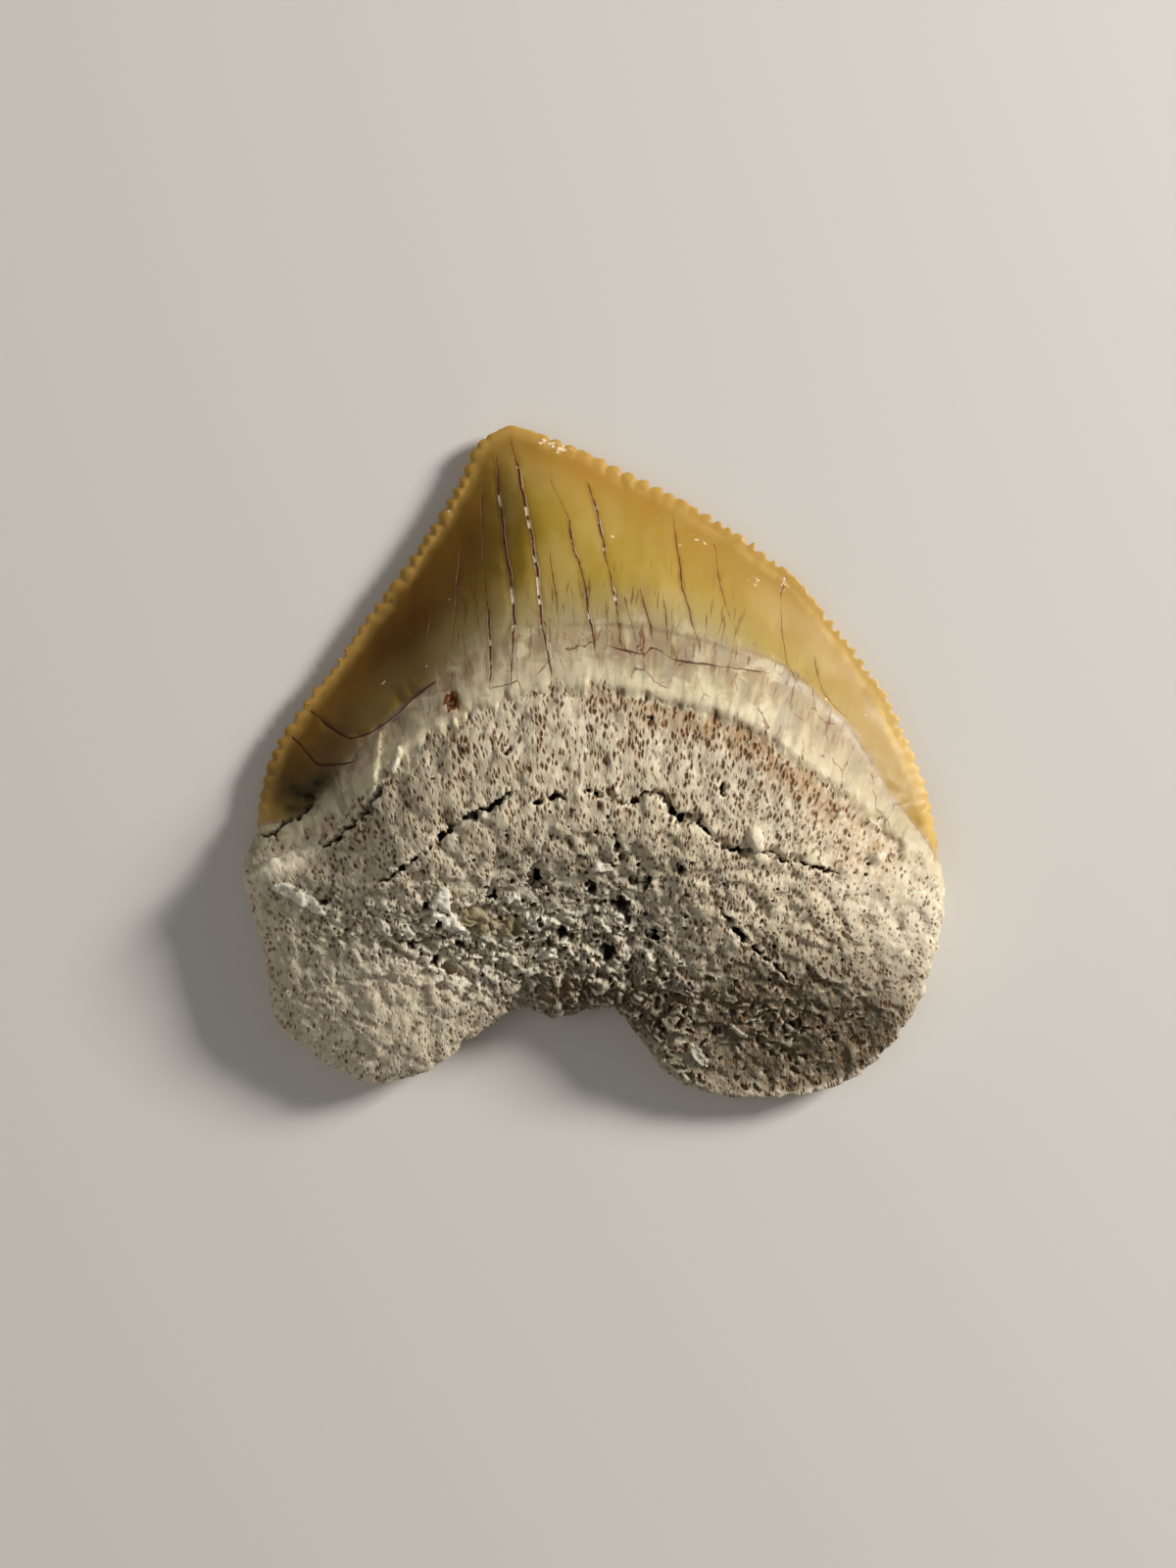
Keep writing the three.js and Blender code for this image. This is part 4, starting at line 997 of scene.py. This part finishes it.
calm = with_modifier(carved, "SMOOTH", factor=0.5, iterations=CALM_ROUNDS)
hollow = ((points_of(calm) - points_of(carved)) * normals_of(calm)).sum(1)
write_values(carved, {"hollow": hollow})
print(f"the deepest corner lies {hollow.max():.2f} mm down, the highest {-hollow.min():.2f} mm up")

# %% [markdown]
# ## Fewer triangles where nothing happens
# The net is even, which is wasteful on smooth enamel. Collapsing edges, cheapest first, leaves the
# triangles where the relief is, and brings the skin under the most that a shared part should have.

# %% The finished skin
MOST_TRIANGLES = 196000

corners_of_faces = len(carved.loops)
triangles = corners_of_faces - 2 * len(carved.polygons)
skin = with_modifier(carved, "DECIMATE", ratio=MOST_TRIANGLES / triangles, use_collapse_triangulate=True)
kept_place = read_values(skin, "place", width=3)
kept_up = read_values(skin, "up")
settled = points_of(skin)
settled[:, 2] = np.maximum(settled[:, 2], 0)  # nothing reaches below the floor
move_points(skin, settled)
final_map = tooth_map(kept_place, kept_up)
for name in final_map:
    skin.attributes.remove(skin.attributes[name])
write_values(skin, final_map)
skin.shade_smooth()
skin.transform(Matrix.Translation(MIDDLE) @ Matrix.Scale(MM, 4))
skin.name = "crow_shark_tooth"
tooth = bpy.data.objects.new("crow_shark_tooth", skin)
bpy.context.scene.collection.objects.link(tooth)
print(f"the skin has {len(skin.polygons)} faces and {len(skin.vertices)} corners")

# %% [markdown]
# ## The finish
# One material covers the tooth, because enamel, neck and root run into each other. Colours are given
# as they look on a screen and turned into light values by a helper.

# %% Colours
def screen_colour(red, green, blue):
    """A colour as Blender's nodes take it, from its values on a screen."""
    parts = [value / 255 for value in (red, green, blue)]
    return [v / 12.92 if v <= 0.04045 else ((v + 0.055) / 1.055) ** 2.4 for v in parts] + [1]


GOLD = screen_colour(170, 144, 56)
HONEY = screen_colour(172, 141, 54)
OLIVE = screen_colour(130, 105, 20)
AMBER_AND_SHADE = screen_colour(90, 56, 3)
PEACH = screen_colour(170, 124, 44)
SERRATION_GOLD = screen_colour(202, 162, 84)
SERRATION_LIT = screen_colour(238, 206, 132)
UMBER = screen_colour(104, 56, 24)
ENAMEL_CREAM = screen_colour(188, 164, 96)
PEARL = screen_colour(231, 222, 188)
NECK_ROSE = screen_colour(172, 152, 120)
NECK_GREY = screen_colour(164, 156, 134)
NECK_MOSS = screen_colour(166, 156, 116)
OXBLOOD = screen_colour(104, 42, 22)
BONE = screen_colour(224, 213, 187)
BONE_PALE = screen_colour(238, 229, 206)
BONE_LILAC = screen_colour(189, 180, 168)
BONE_WAX = screen_colour(212, 204, 166)
FLAKE_WHITE = screen_colour(240, 238, 226)
RUST = screen_colour(158, 104, 54)
BONE_TAN = screen_colour(156, 135, 102)
SHELL_OLIVE = screen_colour(142, 127, 90)
PORE_HALO_AND_SHADE = screen_colour(152, 112, 66)
PORE_BROWN = screen_colour(66, 40, 18)
PORE_RUST = screen_colour(98, 56, 24)
CRACK_BROWN = screen_colour(80, 30, 5)
CRACK_RUST = screen_colour(138, 68, 18)
CRACK_RED = screen_colour(76, 24, 8)
GAP_FILL_AND_SHADE = screen_colour(24, 15, 9)
GOUGE_GREY = screen_colour(208, 202, 184)
PAINTED_SHADE_BROWN = screen_colour(54, 44, 30)
SOOT = screen_colour(30, 24, 8)
CHIP_AND_GLINT_WHITE = screen_colour(240, 226, 200)
print("gold, as light:", [round(part, 3) for part in GOLD])

# %% [markdown]
# ## Enamel
# The enamel is golden where it is thick and warmer, almost peach, where it thins towards the edge. A
# darker olive column stands behind the ridge. The side away from the light is turned to a dark amber,
# which is partly the enamel's colour and partly painted shade, and on the side towards the light the
# serrated rim is paler, as painted light. Towards the hem it is streaked with brown along its growth.
# Open cracks are dark, with chipped, pale lips, and fine ones are rusty. White nicks and flecks are
# partly chips and partly painted glints. It could be built as clear enamel over an opaque core, but
# how light fades in such layers is hard to steer. Plain colours that are mixed by the map go where
# they are wanted.

# %% The recipe of the enamel's colour
def enamel_colour(recipe, cracks):
    """Gold, olive and peach in soft clouds, with streaks and dark hairlines, painted shade in the amber,
    and painted light on the rim and in glints.
    """
    place = recipe.named("place", vector=True)
    clouds = recipe.noise(place, (2.6, 3.4, 3.4), detail=3)
    fan = recipe.named("fan", vector=True)
    streaks = recipe.noise(fan, (0.5, 5.0, 2.0), detail=3)
    threads = recipe.noise(fan, (0.1, 1.5, 1.0), detail=1)
    colour = recipe.tint(GOLD, HONEY, (clouds * 0.35).either(recipe.named("honey")))
    colour = recipe.tint(colour, OLIVE, recipe.named("olive") * (streaks * 0.5 + 0.5) * 0.9)
    colour = recipe.tint(colour, OLIVE, streaks * 0.2)
    milky = recipe.noise(fan, (1.3, 3.0, 2.0), detail=2)
    colour = recipe.tint(colour, ENAMEL_CREAM, recipe.ramp(milky, 0.35, 1.0) * 0.55)
    # dark amber: partly the enamel's colour, partly painted shade on the side away from the light
    colour = recipe.tint(colour, AMBER_AND_SHADE, recipe.named("amber") * (clouds * 0.2 + 0.8))
    inset = recipe.named("inset")
    edge = recipe.ramp(inset + (clouds - 0.5) * 1.2, 2.3, 0.2)
    edge = edge * (1 - recipe.named("amber") * 0.7) * (1 - recipe.named("honey") * 0.6)
    colour = recipe.tint(colour, PEACH, (edge * 0.75).either(recipe.named("peach") * 0.85))
    brink = recipe.ramp(inset, 0.6, 0.1)
    colour = recipe.tint(colour, SERRATION_GOLD, brink * 0.6)
    # painted light: on the side towards the lamp, the serrated rim is paler
    colour = recipe.tint(colour, SERRATION_LIT, brink * recipe.named("honey") * 0.8)
    mossy = recipe.ramp(recipe.named("hem"), 2.3, -0.3) * recipe.named("fade")
    colour = recipe.tint(colour, NECK_MOSS, mossy * 0.85)
    thready = recipe.ramp(recipe.named("hem"), 3.4, 0.6) * recipe.named("fade")
    colour = recipe.tint(colour, UMBER, recipe.ramp(threads, 0.82, 0.96) * thready * 0.7)
    colour = recipe.tint(colour, UMBER, recipe.named("rust") * streaks * 0.5)
    halo = recipe.ramp(cracks["beside"], 0.22, 0.0) * recipe.ramp(cracks["strength"], 0.2, 0.7)
    colour = recipe.tint(colour, UMBER, halo * 0.5)
    # white nicks, partly chips and partly painted glints
    nicks = recipe.noise(place, (0.22, 0.16, 0.2), detail=3)
    nicked = recipe.ramp(nicks * recipe.named("nicked"), 0.42, 0.56)
    colour = recipe.tint(colour, CHIP_AND_GLINT_WHITE, nicked * 0.85)
    # white flecks scattered over the enamel, partly tiny chips and partly painted glints
    glint_near, glint_own = recipe.cells(place, (0.9, 0.7, 0.7))
    fleck_and_glint = recipe.ramp(glint_near, 0.09, 0.05) * recipe.ramp(glint_own, 0.6, 0.8)
    colour = recipe.tint(colour, CHIP_AND_GLINT_WHITE, fleck_and_glint * 0.6)
    stained = recipe.tint(CRACK_RUST, CRACK_BROWN, recipe.ramp(cracks["strength"], 0.4, 0.8))
    colour = recipe.tint(colour, stained, cracks["family"] * 0.9)
    colour = recipe.tint(colour, CRACK_RED, cracks["single"] * 0.9)
    return recipe.tint(colour, CHIP_AND_GLINT_WHITE, cracks["lip"] * 0.85)


print("the enamel is gold, turned towards olive, amber, honey and peach by the map")

# %% [markdown]
# ## Neck and bone
# The neck is waxy: rosy grey under the enamel, then pearly columns down to the ledge, with a net of
# red-brown hairlines. Bone starts as a beige with paler ridges, then takes lilac and rust in clouds,
# and every hollow darkens towards brown, partly as stain and partly as painted shade. Ovals of painted
# shade darken the root where it falls away from the light, and ovals of painted light brighten it
# elsewhere. Shadow alone would leave the pores too pale: those of a fossil are filled with stained
# sediment. So the pattern that carves them also colours them, and the halo around each pore is partly
# painted shade.

# %% The recipes of the neck's and the root's colour
def neck_colour(recipe, root, cracks):
    """Rosy grey to pearl, with fine stripes and red-brown hairlines."""
    place = recipe.named("place", vector=True)
    fan = recipe.named("fan", vector=True)
    clouds = recipe.noise(place, (1.1, 0.8, 1.0), detail=3)
    ledge = recipe.named("ledge")
    pearly = recipe.ramp(ledge + (root["column"] - 0.5) * 1.2 + (clouds - 0.5), 1.7, 0.4)
    colour = recipe.tint(NECK_ROSE, PEARL, pearly * (root["column"] * 0.4 + 0.6))
    colour = recipe.tint(colour, NECK_MOSS, recipe.ramp(clouds, 0.4, 0.0) * 0.7)
    colour = recipe.tint(colour, PEARL, recipe.ramp(clouds, 0.6, 0.85) * 0.6)
    satin = recipe.noise(fan, (0.4, 2.6, 2.0), detail=3)
    colour = recipe.tint(colour, NECK_GREY, recipe.ramp(satin, 0.5, 0.1) * 0.7)
    colour = recipe.tint(colour, PEARL, recipe.ramp(satin, 0.6, 0.95) * 0.5)
    colour = recipe.tint(colour, NECK_ROSE, recipe.named("honey") * 0.6)
    threads = recipe.noise(fan, (0.13, 1.2, 1.0), detail=2)
    threaded = recipe.ramp(threads, 0.68, 0.95) * recipe.ramp(ledge, 0.8, 2.0)
    colour = recipe.tint(colour, UMBER, threaded * 0.6)
    rust = recipe.named("rust") * recipe.noise(place, (0.5, 0.6, 0.6), detail=4)
    colour = recipe.tint(colour, OXBLOOD, rust * 0.6)
    bent = recipe.bent(place, (0.5, 0.5, 0.5), 0.2)
    veins = recipe.ramp(recipe.seams(bent, (1.2, 3.0, 2.0)), 0.02, 0.0)
    veins = veins * recipe.ramp(recipe.noise(place, (0.8, 0.8, 0.8), detail=3), 0.45, 0.65)
    colour = recipe.tint(colour, OXBLOOD, veins * 0.8)
    hem_line = recipe.ramp(recipe.named("hem").maths("ABSOLUTE"), 0.14, 0.0) * (1 - recipe.named("fade"))
    colour = recipe.tint(colour, UMBER, hem_line * 0.5)
    lines = cracks["family"].either(cracks["single"])
    halo = recipe.ramp(cracks["beside"], 0.3, 0.0) * recipe.ramp(cracks["strength"], 0.1, 0.5)
    colour = recipe.tint(colour, OXBLOOD, halo * 0.25)
    facet_near, facet_own = recipe.cells(place, (0.2, 0.26, 0.26))
    facets = recipe.tint(RUST, UMBER, recipe.ramp(facet_near, 0.3, 0.5))
    facets = recipe.tint(facets, CHIP_AND_GLINT_WHITE, recipe.ramp(facet_own, 0.7, 0.8) * 0.6)
    colour = recipe.tint(colour, facets, recipe.ramp(recipe.named("crystal"), 0.4, 0.6))
    colour = recipe.tint(colour, PEARL, root["flake"] * 0.4)
    return recipe.tint(colour, CRACK_RED, lines * 0.85)


def bone_colour(recipe, root):
    """Beige ridges, lilac and rusty clouds, dark pores, and ovals of painted shade and painted light."""
    place = recipe.named("place", vector=True)
    fan = recipe.named("fan", vector=True)
    clouds = recipe.noise(place, (1.3, 1.3, 1.3), detail=3)
    spots = recipe.noise(place, (0.5, 0.6, 0.6), detail=3)
    streaks = recipe.noise(fan, (0.3, 1.6, 1.0), detail=3)
    colour = recipe.tint(BONE, BONE_LILAC, (clouds * 0.5 + spots * 0.5) * 0.4)
    colour = recipe.tint(colour, BONE_TAN, recipe.ramp(streaks, 0.55, 1.0) * 0.35)
    colour = recipe.tint(colour, BONE_TAN, recipe.named("slots") * 0.55)
    ridges = recipe.noise(fan, (0.17, 0.6, 0.5), detail=2)
    colour = recipe.tint(colour, BONE_TAN, recipe.ramp(ridges, 0.45, 0.05) * 0.5)
    # paler ridges, and the ovals of paler bone and painted light
    pale_ridges_and_lit = (recipe.ramp(ridges, 0.55, 1.0) * 0.6).either(recipe.named("pale") * 0.8)
    colour = recipe.tint(colour, BONE_PALE, pale_ridges_and_lit)
    colour = recipe.tint(colour, BONE_WAX, root["waxy"] * 0.6)
    colour = recipe.tint(colour, RUST, recipe.ramp(streaks + spots, 1.1, 1.7) * 0.15)
    colour = recipe.tint(colour, RUST, recipe.named("rust") * (streaks * 0.5 + root["dimple"] * 0.5))
    chips = recipe.tint(GOUGE_GREY, FLAKE_WHITE, recipe.ramp(root["chip"], 0.3, 0.9))
    colour = recipe.tint(colour, chips, root["gouge"] * 0.8)
    colour = recipe.tint(colour, PORE_BROWN, root["chip_gap"] * 0.42)
    # painted shade, from the ovals of the map
    colour = recipe.tint(colour, PAINTED_SHADE_BROWN, recipe.named("dim") * 0.85)
    hollow = recipe.named("hollow")
    # corners raised above the calm surface are made paler
    colour = recipe.tint(colour, BONE_PALE, recipe.ramp(hollow, -0.01, -0.06) * 0.5)
    colour = recipe.tint(colour, BONE_PALE, root["knob"] * 0.5)
    # broken flakes are less white where painted shade lies
    colour = recipe.tint(colour, FLAKE_WHITE, root["flake"] * (0.6 - recipe.named("dim") * 0.4))
    colour = recipe.tint(colour, SHELL_OLIVE, root["shell"] * 0.8)
    # hollows darken, partly as stained sediment and partly as painted shade
    colour = recipe.tint(colour, BONE_TAN, recipe.ramp(hollow, 0.0, 0.08) * 0.4)
    colour = recipe.tint(colour, PORE_BROWN, recipe.ramp(hollow, 0.1, 0.34) * 0.5)
    clear = recipe.named("top") * 0.4 + 0.6
    # the halo around each pore: partly brown stain and partly painted shade
    colour = recipe.tint(colour, PORE_HALO_AND_SHADE, root["dimple"] * clear * 0.75)
    colour = recipe.tint(colour, BONE_TAN, root["groove"] * 0.3)
    inside = recipe.tint(PORE_BROWN, PORE_RUST, recipe.named("rust"))
    colour = recipe.tint(colour, inside, root["fine"] * clear * (0.92 - recipe.named("smooth") * 0.35))
    colour = recipe.tint(colour, PORE_BROWN, root["wide"] * 0.9)
    return recipe.tint(colour, PORE_BROWN, root["spongy"] * 0.8)


print("the neck goes from rose to pearl, and the bone is beige with lilac and rust")

# %% [markdown]
# ## One material
# The three finishes meet by the map: enamel above the hem, bone below the ledge, the neck between.
# Three materials would meet in a hard line from triangle to triangle, while one can fray its borders.
# Enamel and neck are glossy and bone is dull. Bump adds the grain that is finer than the mesh.

# %% The material
GRAIN_DEPTH = 0.005
POLISHED_ROUGHNESS = 0.36
BONE_ROUGHNESS = 0.82
SPECULAR_LEVEL = 0.25
GLOW_SHARE = 0.06  # how much light goes in under the surface
GLOW_REACH = 0.8  # and how far, in mm


def tooth_material():
    """The finish of the whole tooth, on one Principled shader."""
    material = bpy.data.materials.new("fossil tooth")
    material.use_nodes = True
    tree = material.node_tree
    shader = tree.nodes["Principled BSDF"]
    recipe = Recipe(tree)
    root = root_pattern(recipe)
    cracks = crack_pattern(recipe)
    place = recipe.named("place", vector=True)
    fan = recipe.named("fan", vector=True)
    fade = recipe.named("fade")
    frayed = recipe.named("hem") + (recipe.noise(fan, (0.3, 2.0, 1.0), detail=3) - 0.5) * fade
    enamel = recipe.ramp(frayed, fade * -0.9, fade * 1.1)
    colour = recipe.tint(neck_colour(recipe, root, cracks), enamel_colour(recipe, cracks), enamel)
    colour = recipe.tint(colour, bone_colour(recipe, root), root["bone"])
    # cracks and holes are darkened, partly as their dark fill and partly as painted shade
    colour = recipe.tint(colour, GAP_FILL_AND_SHADE, root["gap"] * 0.95)
    sooty = recipe.named("soot") * (recipe.noise(place, (0.7, 0.5, 0.6)) * 0.5 + 0.5)
    colour = recipe.tint(colour, SOOT, sooty)
    wire(tree, shader.inputs["Base Color"], colour)
    smudge = recipe.noise(place, (1.0, 1.0, 1.0), detail=3) * 0.12
    rough = smudge + POLISHED_ROUGHNESS + root["bone"] * (BONE_ROUGHNESS - POLISHED_ROUGHNESS)
    wire(tree, shader.inputs["Roughness"], rough)
    grain = recipe.noise(fan, (0.07, 0.16, 0.1), detail=3) * root["bone"] * GRAIN_DEPTH
    bump = tree.nodes.new("ShaderNodeBump")
    bump.inputs["Distance"].default_value = MM
    wire(tree, bump.inputs["Height"], fine_height(recipe, root, cracks) + grain)
    tree.links.new(bump.outputs[0], shader.inputs["Normal"])
    shader.inputs["Subsurface Weight"].default_value = GLOW_SHARE
    shader.inputs["Subsurface Scale"].default_value = GLOW_REACH * MM
    shader.inputs["Specular IOR Level"].default_value = SPECULAR_LEVEL
    return material


skin.materials.clear()
skin.materials.append(tooth_material())
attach(tooth, "root")
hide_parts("tooth")
print(f"the material has {len(skin.materials[0].node_tree.nodes)} nodes")

# %% [markdown]
# ## Floor, light and camera
# A pale, plain floor and soft light from the upper right, low enough to draw the pores. An open sky
# could light it too, but a lamp is easier to aim. A faint second one opens the shadows. The camera
# looks straight down on the tooth from a little way off, so that its outline is barely foreshortened.

# %% The floor
FLOOR_SIZE = 1.6  # in metres
FLOOR_GAP = 0.00002  # in metres, so that the floor and the tooth's underside aren't in one plane
CARD_WHITE = screen_colour(226, 224, 220)
CARD_ROUGHNESS = 0.9
CARD_SPECULAR = 0.2


def pale_floor():
    """A wide, plain sheet under the tooth."""
    shape = bmesh.new()
    bmesh.ops.create_grid(shape, x_segments=1, y_segments=1, size=FLOOR_SIZE / 2)
    mesh = bpy.data.meshes.new("floor")
    shape.to_mesh(mesh)
    shape.free()
    floor = bpy.data.objects.new("floor", mesh)
    floor.location = (MIDDLE.x, MIDDLE.y, MIDDLE.z - FLOOR_GAP)
    bpy.context.scene.collection.objects.link(floor)
    material = bpy.data.materials.new("pale card")
    material.use_nodes = True
    shader = material.node_tree.nodes["Principled BSDF"]
    shader.inputs["Base Color"].default_value = CARD_WHITE
    shader.inputs["Roughness"].default_value = CARD_ROUGHNESS
    shader.inputs["Specular IOR Level"].default_value = CARD_SPECULAR
    mesh.materials.append(material)
    return floor


pale_floor()
print(f"the floor is {FLOOR_SIZE} m wide")

# %% Light and camera
CAMERA_PLACE = (-0.23, -0.91, 169.9)  # in mm from the middle of the tooth
CAMERA_LENS = 100
SKY_COLOUR = (1.0, 0.95, 0.88, 1)
SKY_STRENGTH = 0.14
LIGHTS = [
    # name, direction, distance in mm, size in mm, watts, colour
    ("key", (0.83, 0.4, 0.47), 300, 80, 1.1, (1.0, 0.96, 0.9)),
    ("fill", (-0.55, -0.1, 0.85), 400, 300, 0.19, (1.0, 0.97, 0.92)),
]


def add_light(name, direction, distance, size, watts, colour):
    """A soft square lamp that looks at the tooth."""
    lamp = bpy.data.lights.new(name, "AREA")
    lamp.size = size * MM
    lamp.energy = watts
    lamp.color = colour
    holder = bpy.data.objects.new(name, lamp)
    aim = Vector(direction).normalized()
    holder.location = MIDDLE + aim * distance * MM
    holder.rotation_euler = aim.to_track_quat("Z", "Y").to_euler()
    bpy.context.scene.collection.objects.link(holder)


def add_camera():
    """A long lens straight above the tooth, with +Y up in its view."""
    lens = bpy.data.cameras.new("camera")
    lens.lens = CAMERA_LENS
    lens.clip_start = 0.01
    camera = bpy.data.objects.new("camera", lens)
    camera.location = MIDDLE + Vector(CAMERA_PLACE) * MM
    bpy.context.scene.collection.objects.link(camera)
    bpy.context.scene.camera = camera


for light in LIGHTS:
    add_light(*light)
add_camera()
world = bpy.data.worlds.new("studio")
world.use_nodes = True
sky = world.node_tree.nodes["Background"]
sky.inputs["Color"].default_value = SKY_COLOUR
sky.inputs["Strength"].default_value = SKY_STRENGTH
bpy.context.scene.world = world
bpy.context.scene.view_settings.view_transform = "Standard"
print("lights:", ", ".join(light[0] for light in LIGHTS))
